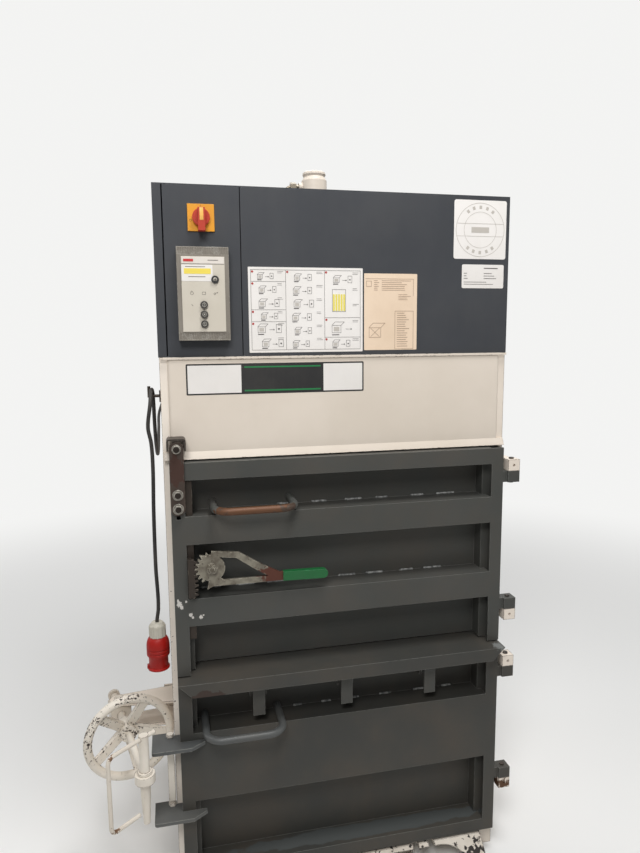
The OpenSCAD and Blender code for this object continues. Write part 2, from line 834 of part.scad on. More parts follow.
module switch_box() {
  x0 = cover_l + 20;
  y0 = -hood_y + 60;
  color([0.55, 0.56, 0.56]) {
    plate_x(x0, x0 + ebox_w, y0, y0 + ebox_d, deck_z, deck_z + ebox_h);
    plate_x(x0 - 4, x0 + ebox_w + 4, y0 - 6, y0, deck_z, deck_z + ebox_h + 4);
    for (i = [0 : 3]) translate([x0 + 24 + i * 34, y0 + ebox_d / 2, 0]) rod_z(16, deck_z + ebox_h - 1, deck_z + ebox_h + 14);
  }
}

// Hydraulics
module oil_tank() {
  color([0.35, 0.37, 0.4]) translate([tank_x, tank_y, deck_z]) {
    cube([tank_w, tank_d, tank_h]);
    translate([-8, -8, tank_h]) cube([tank_w + 16, tank_d + 16, 6]);
    translate([40, 40, tank_h + 6]) cylinder(d = 44, h = 22);
    translate([-4, 60, 40]) cube([4, 24, 110]);
    translate([tank_w - 50, -16, 20]) rotate([-90, 0, 0]) cylinder(d = 24, h = 16);
  }
}

motor_x = tank_x + tank_w - motor_d / 2 - 24;
motor_y = tank_y + tank_d / 2;
motor_z = deck_z + tank_h + 6;

module motor() {
  color([0.25, 0.35, 0.5]) translate([motor_x, motor_y, motor_z]) {
    cylinder(d = motor_d, h = 12);
    cylinder(d = motor_d - 24, h = motor_l);
    for (i = [0 : fins - 1]) rotate([0, 0, i * 360 / fins]) translate([0, -1.5, 14]) cube([motor_d / 2 - 3, 3, motor_l - 60]);
    translate([0, 0, motor_l - 44]) cylinder(d = motor_d - 2, h = 44);
    translate([-motor_d / 2 - 22, -32, 60]) cube([40, 64, 70]);
  }
}

module valve_block() {
  color([0.62, 0.63, 0.65]) translate([valve_x, cyl_y, deck_z]) difference() {
    union() {
      translate([-valve_w / 2, -valve_w / 2, 0]) cube([valve_w, valve_w, valve_h]);
      for (z = [30, 76]) translate([0, valve_w / 2, z]) rotate([-90, 0, 0]) {
        cylinder(d = 34, h = 48);
        cylinder(d = 12, h = 56);
      }
      translate([port_in, 0, valve_h]) cylinder(d = 24, h = 14, $fn = 6);
      translate([valve_w / 2, 0, 34]) rotate([0, 90, 0]) cylinder(d = 26, h = 10, $fn = 6);
      translate([-valve_w / 2 - 26, 0, 60]) rotate([0, 90, 0]) cylinder(d = 20, h = 26);
    }
    translate([port_in, 0, valve_h]) cylinder(d = pipe_d, h = 15);
    translate([valve_w / 2, 0, 34]) rotate([0, 90, 0]) cylinder(d = hose_d, h = 11);
  }
}

// Half section of the cylinder's cap, from its top down: bevel, rim, neck and flare
module cap_outline() {
  r = cyl_d / 2;
  polygon([[0, 0], [r - 9, 0], [r - 4, -3], [r - 3, -9], [r - 6, -15], [r - 5, -18], [r, -cap_l], [r, -cap_l - 1],
    [0, -cap_l - 1]]);
}

// Cylinder: barrel, gland and bevelled cap round a true bore, with a flange on the beam
module press_cylinder() {
  color([0.86, 0.84, 0.8]) translate([0, cyl_y, 0]) difference() {
    union() {
      rod_z(cyl_d, cyl_low, cyl_top - cap_l);
      translate([0, 0, cyl_top]) rotate_extrude() cap_outline();
      translate([-flange_w / 2, -flange_w / 2, body_h]) cube([flange_w, flange_w, flange_t]);
      translate([0, 0, port_z]) rod_x(24, -cyl_d / 2 - 11, 0);
      translate([0, 0, deck_z + 34]) rod_x(24, -cyl_d / 2 - 11, 0);
      for (sx = [-1, 1], sy = [-1, 1]) translate([sx * (flange_w / 2 - 16), sy * (flange_w / 2 - 16), 0])
        hex_z(19, body_h + flange_t, body_h + flange_t + 12);
    }
    rod_z(bore_d, cyl_low + gland_l, cyl_top - cap_l);
    rod_z(rod_d + 2 * run_gap, cyl_low - 1, cyl_low + gland_l + 1);
    translate([0, 0, port_z]) rod_x(8, -cyl_d / 2 - 12, 0);
    translate([0, 0, deck_z + 34]) rod_x(8, -cyl_d / 2 - 12, 0);
  }
}

module pressure_pipe() {
  end = -cyl_d / 2 - 11;
  color([0.45, 0.38, 0.3]) translate([0, cyl_y, 0]) {
    translate([0, 0, port_z]) {
      rod_x(14, end - 8, end);
      translate([end - 8, 0, 0]) rotate([0, -90, 0]) cylinder(d = 26, h = 18, $fn = 6);
      rod_x(pipe_d, pipe_x + pipe_r, end - 10);
      translate([pipe_x + pipe_r, 0, -pipe_r]) rotate([90, 0, 0]) rotate([0, 0, 90]) rotate_extrude(angle = 90)
        translate([pipe_r, 0]) circle(d = pipe_d);
    }
    translate([pipe_x, 0, 0]) rod_z(pipe_d, deck_z + valve_h, port_z - pipe_r);
  }
}

module return_hose() {
  z = deck_z + 34;
  color([0.1, 0.1, 0.1]) translate([0, cyl_y, z]) rod_x(hose_d, valve_x + valve_w / 2, -cyl_d / 2 - 11);
}

// Hinges: white knuckles on the body, pins in them and grey knuckles on the doors
module lug(z) {
  difference() {
    union() {
      plate_x(hx - knuckle_d / 2, hx + knuckle_d / 2, hy - knuckle_d / 2, hy + knuckle_d / 2, z, z + knuckle_h);
      plate_x(bw, hx + 6, hy, yf + 50, z, z + knuckle_h);
    }
    translate([hx, hy, 0]) rod_z(pin_d, z - 1, z + knuckle_h + 1);
    translate([hx, 0, z + knuckle_h / 2]) rod_y(6, hy - knuckle_d / 2 - 1, hy - knuckle_d / 2 + 4);
  }
}

module hinge_lugs() {
  color([0.85, 0.82, 0.77]) for (z = [white_1, white_2, white_3, white_4]) lug(z);
}

module hinge_pins() {
  color([0.25, 0.22, 0.2]) translate([hx, hy, 0]) {
    rod_z(pin_d, grey_1 - 4, white_1 + knuckle_h + 4);
    rod_z(pin_d, white_2 - 4, grey_2 + knuckle_h + 4);
    rod_z(pin_d, grey_3 - 4, white_3 + knuckle_h + 4);
    rod_z(pin_d, white_4 - 4, grey_4 + knuckle_h + 4);
  }
}

module door_knuckle(z) {
  plate_x(hx - knuckle_d / 2, hx + knuckle_d / 2, hy - knuckle_d / 2, hy + knuckle_d / 2, z, z + knuckle_h);
  plate_x(dw - 1, hx, hy - 11, hy + 11, z, z + knuckle_h);
}

module knuckle_bore(z) {
  translate([hx, hy, 0]) rod_z(pin_d + 2 * run_gap, z - 1, z + knuckle_h + 1);
}

// Cross section of a door: two folded stiles and the skin set into the chamber mouth
module door_section() {
  for (s = [-1, 1]) scale([s, 1]) {
    translate([dw - stile_w, door_front]) square([stile_w, door_t]);
    translate([dw - door_t, door_front]) square([door_t, frame_d]);
    translate([plug_x - door_t, door_back - door_t]) square([dw - plug_x + door_t, door_t]);
    translate([plug_x - door_t, door_back - door_t]) square([door_t, skin_back - door_back + door_t]);
  }
  translate([-plug_x, skin_front]) square([2 * plug_x, sheet_t]);
}

module rib_solid(z, h, in) {
  plate_x(-dw + stile_w - 1 + in, dw - stile_w + 1 - in, door_front + in, door_back - door_t - in + 1, z + in, z + h - in);
  plate_x(-plug_x + 1 + in, plug_x - 1 - in, door_front + in, skin_front + 1 - in, z + in, z + h - in);
}

module door_rib(z, h) {
  difference() {
    rib_solid(z, h, 0);
    rib_solid(z, h, door_t);
  }
}

module rail(z, h) {
  difference() {
    plate_x(-dw + stile_w - 1, dw - stile_w + 1, door_front, door_back - door_t + 1, z, z + h);
    plate_x(-dw + stile_w + door_t, dw - stile_w - door_t, door_front + door_t, door_back, z + door_t, z + h - door_t);
  }
}

module upper_door() {
  color([0.28, 0.28, 0.27]) difference() {
    union() {
      translate([0, 0, ud_z0]) linear_extrude(upper_h) door_section();
      rail(ud_z1 - rail_h, rail_h);
      plate_x(-plug_x + 1, plug_x - 1, door_back - door_t, skin_front + 1, ud_z1 - door_t, ud_z1);
      door_rib(rib1_z, rib_h);
      door_rib(rib2_z, rib_h);
      for (z = [grey_1, grey_2]) door_knuckle(z);
    }
    for (z = [grey_1, grey_2]) knuckle_bore(z);
    plate_x(slide_x - slide_gap, slide_x + slide_w + slide_gap, slide_front - slide_gap, slide_back + slide_gap,
      rib2_z - 1, rib1_z + rib_h + 1);
    plate_x(-dw + stile_w - 2, slide_x, slide_front - slide_gap, slide_back + slide_gap,
      latch_bottom + 3 - latch_travel, rib1_z + rib_h + 1);
    translate([latch_x, 0, 0]) plate_x(-latch_bolt_d / 2 - 0.5, latch_bolt_d / 2 + 0.5,
      door_front - 1, door_front + door_t + 1, bolt_z[0] - latch_travel - latch_bolt_d / 2 - 2, bolt_z[1] + latch_bolt_d / 2 + 2);
  }
}

// Round bar handle in a level plane, each foot on the part of the door behind it
function foot_y(x) = abs(x) + handle_d / 2 > plug_x - door_t ? door_back - door_t : skin_front;

module bar_handle(x, w, out) {
  bar = skin_front - out;
  for (s = [-1, 1]) translate([x, 0, 0]) scale([s, 1, 1]) {
    translate([w / 2, 0, 0]) rod_y(handle_d, bar + handle_r, foot_y(x + s * w / 2));
    translate([w / 2 - handle_r, bar + handle_r, 0]) rotate([0, 0, -90]) rotate_extrude(angle = 90)
      translate([handle_r, 0]) circle(d = handle_d);
  }
  translate([0, bar, 0]) rod_x(handle_d, x - w / 2 + handle_r, x + w / 2 - handle_r);
}

module upper_handle() {
  color([0.4, 0.3, 0.24]) translate([0, 0, handle_1_z]) bar_handle(handle_1_x, handle_1_w, handle_1_out);
}

module lower_handle() {
  color([0.4, 0.4, 0.38]) translate([0, 0, handle_2_z]) bar_handle(handle_2_x, handle_2_w, handle_2_out);
}

module lever_stud() {
  color([0.4, 0.4, 0.4]) translate([pivot_x, 0, pivot_z]) {
    rod_y(30, lever_back + 0.3, skin_front);
    rod_y(stud_d, lever_front - 14, lever_back + 1);
    rod_y(30, lever_front - 2.8, lever_front - 0.3);
    hex_y(22, lever_front - 12, lever_front - 2.8);
  }
}

// Involute teeth
function involute(a) = tan(a) * 180 / PI - a;
function half_tooth(r) = 90 / tooth_n - backlash / 4 / pitch_r * 180 / PI + involute(20)
  - involute(r > base_r ? acos(base_r / r) : 0);
tooth_rs = [for (i = [0 : 5]) base_r + (tip_r - base_r) * i / 5];
function at(r, a) = [r * cos(a), r * sin(a)];
function flank(c, side) = [for (i = [0 : 5]) let (r = tooth_rs[side < 0 ? i : 5 - i]) at(r, c + side * half_tooth(r))];
function tooth_points(c) = concat([at(root_r + 0.5, c - half_tooth(base_r) - 0.4)], flank(c, -1), flank(c, 1),
  [at(root_r + 0.5, c + half_tooth(base_r) + 0.4)]);

module sector_teeth_outline() {
  step = 360 / tooth_n;
  first = 180 - step * (sector_teeth - 4);
  polygon(concat([[0, 0]], [for (i = [0 : sector_teeth - 1]) each tooth_points(first + i * step)]));
}

module lever_outline() {
  difference() {
    union() {
      circle(r = root_r);
      sector_teeth_outline();
      polygon([[0, 30], [-24, 24], [-31, 37], [-14, 35], [0, 37]]);
      polygon([[-8, -34], [-13, -57], [4, -49.5], [120, -42 - arm_w / 2], [165, -42 - arm_w / 2], [198, -49],
        [198, -26], [181, -26], [134, arm_w / 2 - 8], [72, 31 + arm_w / 2], [0, 46], [-2, 30], [20, 29],
        [64, 31 - arm_w / 2], [122, -9 - arm_w / 2], [150, -42 + arm_w / 2], [30, -42 + arm_w / 2], [22, -26], [0, -30]]);
    }
    circle(d = stud_d + 2 * run_gap);
  }
}

module lever() {
  color([0.42, 0.4, 0.37]) translate([pivot_x, lever_back, pivot_z]) rotate([90, 0, 0]) linear_extrude(lever_t) lever_outline();
}

module lever_grip() {
  mid = lever_t / 2;
  color([0.1, 0.45, 0.2]) translate([pivot_x + grip_x, lever_back - mid, pivot_z - grip_drop]) rotate([0, 1, 0]) difference() {
    translate([0, grip_t / 2, 0]) rotate([90, 0, 0]) linear_extrude(grip_t) {
      translate([0, -grip_w / 2]) square([grip_l - grip_w / 2, grip_w]);
      translate([grip_l - grip_w / 2, 0]) circle(d = grip_w);
    }
    rotate([0, -1, 0]) translate([-10, -mid - eps, -11.5]) cube([18, lever_t + 2 * eps, 23]);
  }
}

module rack_outline() {
  half = tooth_pitch / 4 - backlash / 8;
  for (k = [-rack_low : rack_high - 1]) translate([0, (k + 0.5) * tooth_pitch])
    polygon([[-1.25 * tooth_m - 1, -half - (1.25 * tooth_m) * tan(20)], [0.95 * tooth_m, -half + 0.95 * tooth_m * tan(20)],
      [0.95 * tooth_m, half - 0.95 * tooth_m * tan(20)], [-1.25 * tooth_m - 1, half + (1.25 * tooth_m) * tan(20)]]);
  translate([-rack_in + 1, -rack_low * tooth_pitch - 3])
    square([rack_in - 1 - 1.25 * tooth_m, (rack_low + rack_high) * tooth_pitch + 5]);
}

module rack() {
  color([0.3, 0.24, 0.2]) {
    translate([rack_x, lever_back, pivot_z]) rotate([90, 0, 0]) linear_extrude(lever_t) rack_outline();
    plate_x(slide_x, slide_x + 10, lever_back, slide_front, pivot_z - 22, pivot_z + 26);
  }
}

module slide_bar() {
  color([0.28, 0.27, 0.25]) {
    plate_x(slide_x, slide_x + slide_w, slide_front, slide_back, rib2_z - 40, ud_z1 - rail_h - 4);
    plate_x(latch_x - 12, slide_x + 1, slide_front, slide_back, latch_bottom + 4, bolt_z[1] + 16);
  }
}

module latch_bar() {
  r = latch_w / 2;
  color([0.38, 0.18, 0.12]) translate([latch_x, latch_back, 0]) rotate([90, 0, 0]) linear_extrude(latch_t) difference() {
    union() {
      translate([-r, latch_bottom + r]) square([latch_w, latch_l - 2 * r]);
      for (z = [latch_bottom + r, latch_top - r]) translate([0, z]) circle(r = r);
    }
    for (z = concat(bolt_z, [boss_z])) translate([0, z]) circle(d = latch_bolt_d);
  }
}

module latch_bolts() {
  color([0.5, 0.48, 0.45]) translate([latch_x, 0, 0]) {
    for (z = bolt_z) translate([0, 0, z]) {
      rod_y(latch_bolt_d, latch_front - 9, slide_front);
      rod_y(28, latch_front - 2.5, latch_front);
      hex_y(17, latch_front - 9, latch_front - 2.5);
    }
    translate([0, 0, boss_z]) {
      rod_y(latch_bolt_d, latch_front - 14, latch_back + 6);
      rod_y(26, latch_back, latch_back + 6);
      rod_y(24, latch_front - 2.5, latch_front);
      hex_y(17, latch_front - 11, latch_front - 2.5);
    }
  }
}

// Front of the ledge: its ends slope in towards the bottom
module ledge_front(in) {
  a = in * (1 + sqrt(2));
  b = ledge_h - in + in * sqrt(2);
  translate([0, door_front + 1 + in, 0]) rotate([90, 0, 0]) linear_extrude(ledge_out + 1)
    polygon([[-dw + a, ld_z1 - in], [-dw + b, ledge_z + in], [dw - b, ledge_z + in], [dw - a, ld_z1 - in]]);
}

module lower_door() {
  color([0.28, 0.28, 0.27]) difference() {
    union() {
      translate([0, 0, ld_z0]) linear_extrude(lower_h - 1) door_section();
      difference() {
        union() {
          plate_x(-dw, dw, door_front, door_back, ledge_z, ld_z1);
          ledge_front(0);
          plate_x(-plug_x, plug_x, door_back - 1, skin_back, ledge_z, ld_z1);
        }
        plate_x(-dw + door_t, dw - door_t, door_front + door_t, door_back - door_t, ledge_z + door_t, ld_z1 - door_t);
        ledge_front(door_t);
      }
      door_rib(wide_z, wide_rib_h);
      door_rib(ld_z0, foot_rail_h);
      for (z = [grey_3, grey_4]) door_knuckle(z);
      for (k = [-1 : 1], s = [-1, 1]) translate([k * claw_pitch + s * (claw_w / 2 + 1.5 + ear_t / 2) - ear_t / 2, 0, 0])
        plate_x(0, ear_t, claw_pin_y - 12, claw_pin_y + 12, claw_pin_z - 12, ledge_z + 1);
    }
    for (z = [grey_3, grey_4]) knuckle_bore(z);
    for (k = [-1 : 1]) translate([k * claw_pitch, 0, 0]) {
      plate_x(-claw_w / 2 - 1.5, claw_w / 2 + 1.5, skin_front - 1, skin_back + 1, slot_low, slot_high);
      translate([0, claw_pin_y, claw_pin_z]) rod_x(claw_pin_d, -claw_w / 2 - 20, claw_w / 2 + 20);
    }
  }
}

module claw_pins() {
  color([0.3, 0.3, 0.3]) for (k = [-1 : 1]) translate([k * claw_pitch, claw_pin_y, claw_pin_z]) {
    rod_x(claw_pin_d, -claw_w / 2 - 1.5 - ear_t - 4, claw_w / 2 + 1.5 + ear_t + 4);
  }
}

// Claw: strap in front, arm through the door skin and a hook inside the chamber
module claw(k) {
  front = -claw_t - 26;
  tip = skin_back + claw_in - claw_pin_y;
  color([0.33, 0.33, 0.32]) translate([k * claw_pitch - claw_w / 2, claw_pin_y, claw_pin_z]) rotate([90, 0, 90])
    linear_extrude(claw_w) difference() {
      union() {
        translate([front, -claw_drop + 16]) square([claw_t, claw_drop - 8]);
        translate([front, 8]) square([tip - front, claw_t]);
        translate([tip - claw_t, -25]) square([claw_t, 34]);
        circle(d = claw_pin_d + 10);
        translate([-claw_pin_d / 2 - 5, 0]) square([claw_pin_d + 10, 9]);
      }
      circle(d = claw_pin_d + 2 * run_gap);
    }
}

module claw_left() {
  claw(-1);
}

module claw_middle() {
  claw(0);
}

module claw_right() {
  claw(1);
}

// Lock plates on the bale door and the square bar between them
module lock_plate(z) {
  x0 = -bw - lock_plate_out;
  r = 8;
  difference() {
    translate([0, 0, z]) linear_extrude(lock_plate_t) {
      polygon([[x0, bar_y + 17], [x0, plate_front + r], [x0 + r, plate_front + r], [x0 + r, plate_front],
        [-dw + 30, plate_front], [-dw + 67, door_front - 9], [-dw + 67, door_front], [-dw, door_front],
        [-dw, yf - 4], [-bw - lock_bar_gap, yf - 4], [-bw - lock_bar_gap, bar_y + 17]]);
      translate([x0 + r, plate_front + r]) circle(r = r);
    }
    translate([bar_x, bar_y, 0]) rod_z(lock_bolt_d, z - 1, z + lock_plate_t + 1);
  }
}

module lock_plates() {
  color([0.36, 0.38, 0.4]) {
    lock_plate(plate_1);
    lock_plate(plate_2);
  }
}

module lock_bar() {
  color([0.82, 0.79, 0.74]) translate([bar_x, bar_y, 0]) {
    plate_x(-lock_bar_w / 2, lock_bar_w / 2, -lock_bar_w / 2, lock_bar_w / 2, plate_2 + lock_plate_t + 17, plate_1 - 6);
    rod_z(lock_bolt_d, plate_2 - 12, plate_1 + lock_plate_t + 6);
    hex_z(19, plate_1 + lock_plate_t, plate_1 + lock_plate_t + 8);
    hex_z(19, plate_2 - 8, plate_2);
    hex_z(19, plate_2 + lock_plate_t, plate_2 + lock_plate_t + 10);
    rod_z(20, plate_1 - 6, plate_1);
  }
}

// Bracket, trunnion and spindle on the left side of the body
module at_arm() {
  translate([arm_x, arm_y, spindle_z]) rotate([0, 0, arm_a]) children();
}

module lock_bracket() {
  y0 = arm_y - bracket_l / 2;
  y1 = arm_y + bracket_l / 2;
  low = spindle_z - bracket_gap / 2 - bracket_t;
  high = spindle_z + bracket_gap / 2;
  color([0.84, 0.81, 0.76]) difference() {
    union() {
      for (z = [low, high]) {
        translate([0, 0, z]) linear_extrude(bracket_t)
          polygon([[-cw - sheet_t, y0], [-cw - sheet_t, y1], [arm_x, arm_y + 27], [arm_x, arm_y - 27]]);
        translate([arm_x, arm_y, 0]) rod_z(58, z, z + bracket_t);
      }
      plate_x(-cw - sheet_t - 8, -cw - sheet_t, y0, y1, low - 40, high + bracket_t + 40);
      plate_x(-bw - 30, -cw - sheet_t, y1 - 8, y1, low, high + bracket_t);
    }
    translate([arm_x, arm_y, 0]) rod_z(trunnion_pin_d + 2 * run_gap, low - 1, high + bracket_t + 1);
  }
}

module trunnion() {
  h = bracket_gap - 0.6;
  color([0.5, 0.48, 0.45]) at_arm() difference() {
    union() {
      plate_x(-trunnion_w / 2, trunnion_w / 2, -25, 25, -h / 2, h / 2);
      rod_z(trunnion_pin_d, -bracket_gap / 2 - bracket_t - 10, bracket_gap / 2 + bracket_t + 10);
      rod_z(trunnion_pin_d + 10, bracket_gap / 2 + bracket_t + 0.3, bracket_gap / 2 + bracket_t + 6);
      rod_z(trunnion_pin_d + 10, -bracket_gap / 2 - bracket_t - 6, -bracket_gap / 2 - bracket_t - 0.3);
    }
    rod_y(spindle_d + 2 * run_gap, -26, 26);
  }
}

module spindle_eye() {
  s0 = -arm_l;
  color([0.84, 0.81, 0.76]) at_arm() difference() {
    union() {
      translate([0, s0, 0]) rod_z(eye_d, -eye_t / 2, eye_t / 2);
      rod_y(eye_t - 2, s0 + 15, s0 + hub_s - hub_l / 2 - lock_travel - 0.5);
      rod_y(16, s0 + 15, s0 + hub_s - lock_travel - 1);
    }
    translate([0, s0, 0]) rod_z(lock_pin_d + 2 * run_gap, -eye_t, eye_t);
  }
}

module locking_pin() {
  color([0.86, 0.83, 0.78]) translate([pin_x, pin_y, spindle_z]) difference() {
    union() {
      rod_z(lock_pin_d, -44, lock_pin_up);
      translate([0, 0, -lock_pin_down]) cylinder(d1 = lock_pin_d - 9, d2 = lock_pin_d, h = lock_pin_down - 44);
      rod_z(lock_pin_d + 12, eye_t / 2 + 0.3, eye_t / 2 + 7);
      rod_z(lock_pin_d + 8, -eye_t / 2 - 6, -eye_t / 2 - 0.3);
    }
    translate([0, 0, lock_pin_up - bow_drop]) rotate([0, 0, bow_a]) rod_x(bow_d, -40, 40);
  }
}

module bow_handle() {
  r = 18;
  color([0.8, 0.74, 0.64]) translate([pin_x, pin_y, spindle_z + lock_pin_up - bow_drop]) rotate([0, 0, bow_a]) {
    rod_x(bow_d, -bow_r + r, 36);
    translate([-bow_r + r, 0, -r]) rotate([90, 0, 0]) rotate([0, 0, 90]) rotate_extrude(angle = 90)
      translate([r, 0]) circle(d = bow_d);
    translate([-bow_r, 0, 0]) rod_z(bow_d, -bow_h + r, -r);
    translate([-bow_r + r, 0, -bow_h + r]) rotate([90, 0, 0]) rotate([0, 0, 180]) rotate_extrude(angle = 90)
      translate([r, 0]) circle(d = bow_d);
    translate([0, 0, -bow_h]) rod_x(bow_d, -bow_r + r, -21);
  }
}

// Handwheel: dished, with hollow spokes of channel section
module spoke(w, front) {
  r0 = hub_d / 2 - 4;
  r1 = wheel_r - 3;
  rotate([0, 0, 90]) rotate([90, 0, 0]) translate([0, 0, -w / 2]) linear_extrude(w)
    polygon([[r0, dish + spoke_t / 2], [r0, dish - spoke_t / 2 - 6 + front], [r1, -spoke_t / 2 + 2 + front], [r1, spoke_t / 2 - 2]]);
}

module handwheel() {
  color([0.84, 0.82, 0.76]) at_arm() translate([0, -arm_l + rim_s, 0]) rotate([-90, 0, 0]) difference() {
    union() {
      rotate_extrude() translate([wheel_r, 0]) circle(d = rim_d);
      translate([0, 0, dish - hub_l / 2]) cylinder(d = hub_d, h = hub_l);
      for (i = [0 : spokes - 1]) rotate([0, 0, 205.6 + i * 360 / spokes]) difference() {
        spoke(spoke_w, 0);
        translate([0, 0, -20 - spoke_wall]) spoke(spoke_w - 2 * spoke_wall, 0);
      }
    }
    translate([0, 0, dish - hub_l / 2 - 1]) cylinder(d = 16 + 2 * run_gap, h = hub_l / 2 + 1);
    translate([0, 0, dish]) cylinder(d = spindle_d, h = hub_l / 2 + 1);
  }
}

module spindle() {
  s0 = -arm_l + hub_s;
  color([0.3, 0.28, 0.26]) at_arm() {
    rod_y(spindle_d, s0, s0 + spindle_l);
    rod_y(spindle_d + 12, s0 + spindle_l, s0 + spindle_l + 12);
  }
}

// Press: rod with its piston, plate with ribs, guide pads
module piston_rod() {
  color([0.8, 0.8, 0.8]) translate([0, cyl_y, 0]) {
    rod_z(rod_d, boss_top, piston_z + 1);
    rod_z(bore_d - 2 * run_gap, piston_z, piston_z + piston_l);
  }
}

module press_plate() {
  x1 = cw - platen_gap;
  color([0.35, 0.34, 0.33]) {
    difference() {
      plate_x(-x1, x1, platen_front, platen_back, platen_z, platen_z + platen_t);
      for (s = [-1, 1], k = [-0.5, 0.5]) translate([s * strap_pair_x + k * strap_pitch, 0, 0])
        plate_x(-strap_w / 2, strap_w / 2, platen_front - 1, platen_back + 1, platen_z - 1, platen_z + platen_t - 5);
    }
    for (y = [cyl_y - 70, cyl_y + 70 - platen_rib_t, platen_front + 10, platen_back - 10 - platen_rib_t])
      plate_x(-x1 + 6, x1 - 6, y, y + platen_rib_t, platen_z + platen_t, platen_z + platen_t + platen_rib_h);
    for (x = [-x1 + 6, -x1 / 2, x1 / 2 - platen_rib_t, x1 - 6 - platen_rib_t])
      plate_x(x, x + platen_rib_t, platen_front + 10, platen_back - 10, platen_z + platen_t, platen_z + platen_t + platen_rib_h);
    translate([0, cyl_y, 0]) difference() {
      union() {
        rod_z(rod_d + 60, platen_z + platen_t, boss_top - 15);
        rod_z(rod_d + 40, boss_top - 16, boss_top);
        plate_x(-rod_d / 2 - 28, rod_d / 2 + 28, -66, 66, platen_z + platen_t, boss_top - 20);
      }
      rod_z(10, boss_top - 12, boss_top + 1);
    }
  }
}

module guide_pads() {
  x1 = cw - platen_gap;
  color([0.9, 0.88, 0.8]) for (s = [-1, 1], y = [platen_front + 40, platen_back - 100]) scale([s, 1, 1])
    plate_x(x1 - 6, cw - pad_gap, y, y + 60, platen_z + platen_t, platen_z + platen_t + platen_rib_h);
}

// Mains cable with its gland, hook and plug
gland_x = -hood_x + 67;
gland_y = hood_y + 30;
gland_z = body_h + 82;
plug_x0 = -519;
plug_y0 = -335;
plug_top = 802;
hook_l = 34;
hook_y = yf + 44;
hook_z = body_h - 102;
cable_pts = [[gland_x, gland_y, gland_z], [-420, 400, 1632], [-424, 410, 1600], [-440, 408, 1500],
  [-465, 395, 1420], [-492, 370, 1370], [-503, 340, 1340], [-505, 260, 1300], [-505, 150, 1265],
  [-505, 20, 1250], [-505, -110, 1270], [-505, -210, 1320], [-505, -265, 1385], [-505, -288, 1440],
  [-506, -300, 1466], [-508, -318, 1474], [-510, -334, 1462], [-512, -345, 1440], [-520, -345, 1376],
  [-514, -345, 1338], [-512, -345, 1290], [-515, -343, 1150], [-516, -340, 1000], [-514, -338, 880],
  [plug_x0, plug_y0, plug_top + plug_nut_l]];

function unit(v) = v / norm(v);
function cable_dir(i) = i == 0 ? [0, 1, 0]
  : i == len(cable_pts) - 1 ? [0, 0, -1]
  : unit(unit(cable_pts[i + 1] - cable_pts[i]) + unit(cable_pts[i] - cable_pts[i - 1]));
function curve(i, t) = let (
  a = cable_pts[i],
  b = cable_pts[i + 1],
  l = norm(b - a),
  m0 = cable_dir(i) * l,
  m1 = cable_dir(i + 1) * l
) (2 * t * t * t - 3 * t * t + 1) * a + (t * t * t - 2 * t * t + t) * m0
  + (3 * t * t - 2 * t * t * t) * b + (t * t * t - t * t) * m1;
steps = [for (i = [0 : len(cable_pts) - 2]) max(1, round(norm(cable_pts[i + 1] - cable_pts[i]) / 48))];
cable_path = [for (i = [0 : len(cable_pts) - 2], k = [0 : steps[i] - 1]) curve(i, k / steps[i]), cable_pts[len(cable_pts) - 1]];
cable_n = len(cable_path);
function path_dir(i) = i == 0 ? [0, 1, 0] : i == cable_n - 1 ? [0, 0, -1]
  : unit(cable_path[i + 1] - cable_path[i - 1]);
function side(i) = i == 0 ? [1, 0, 0] : let (s = side(i - 1), d = path_dir(i)) unit(s - d * (s * d));
cable_sides = 10;
function ring(i) = let (d = path_dir(i), u = side(i), v = cross(d, u))
  [for (k = [0 : cable_sides - 1]) cable_path[i] + cable_d / 2 * (cos(36 * k) * u + sin(36 * k) * v)];

module mains_cable() {
  color([0.08, 0.08, 0.08]) polyhedron(
    points = [for (i = [0 : cable_n - 1]) each ring(i)],
    faces = concat(
      [[for (k = [cable_sides - 1 : -1 : 0]) k]],
      [for (i = [0 : cable_n - 2], k = [0 : cable_sides - 1]) let (a = i * cable_sides, n = (k + 1) % cable_sides)
        each [[a + k, a + n, a + cable_sides + k], [a + n, a + cable_sides + n, a + cable_sides + k]]],
      [[for (k = [0 : cable_sides - 1]) (cable_n - 1) * cable_sides + k]]));
}

module cable_gland() {
  color([0.15, 0.15, 0.15]) translate([gland_x, 0, gland_z]) {
    rod_y(18, hood_y - hood_t - 12, hood_y + 20);
    hex_y(27, hood_y, hood_y + 8);
    rod_y(24, hood_y + 8, gland_y);
  }
}

module cable_hook() {
  color([0.2, 0.2, 0.2]) {
    plate_x(-bw - 4, -bw, hook_y - 8, hook_y + 16, hook_z - 16, hook_z + 14);
    translate([-bw, hook_y, hook_z]) rod_x(8, -hook_l, 0);
    translate([-bw - hook_l + 4, hook_y, 0]) rod_z(8, hook_z, hook_z + 26);
  }
}

module plug_nut() {
  color([0.75, 0.75, 0.73]) translate([plug_x0, plug_y0, plug_top]) {
    cylinder(d = plug_nut_d, h = plug_nut_l - 8);
    translate([0, 0, plug_nut_l - 8]) cylinder(d1 = plug_nut_d - 2, d2 = plug_nut_d - 12, h = 8);
    for (a = [0 : 30 : 330]) rotate([0, 0, a]) translate([plug_nut_d / 2 - 2, -2, 0]) cube([3.5, 4, plug_nut_l - 10]);
  }
}

module plug_body() {
  color([0.75, 0.1, 0.08]) translate([plug_x0, plug_y0, plug_top - plug_l]) {
    cylinder(d = plug_d - 12, h = 34);
    translate([0, 0, 30]) cylinder(d = plug_d, h = plug_l - 44);
    translate([0, 0, plug_l - 14]) cylinder(d1 = plug_d, d2 = plug_d - 14, h = 14);
    translate([-plug_d / 2 + 2, -7, 10]) cube([6, 14, 30]);
  }
}

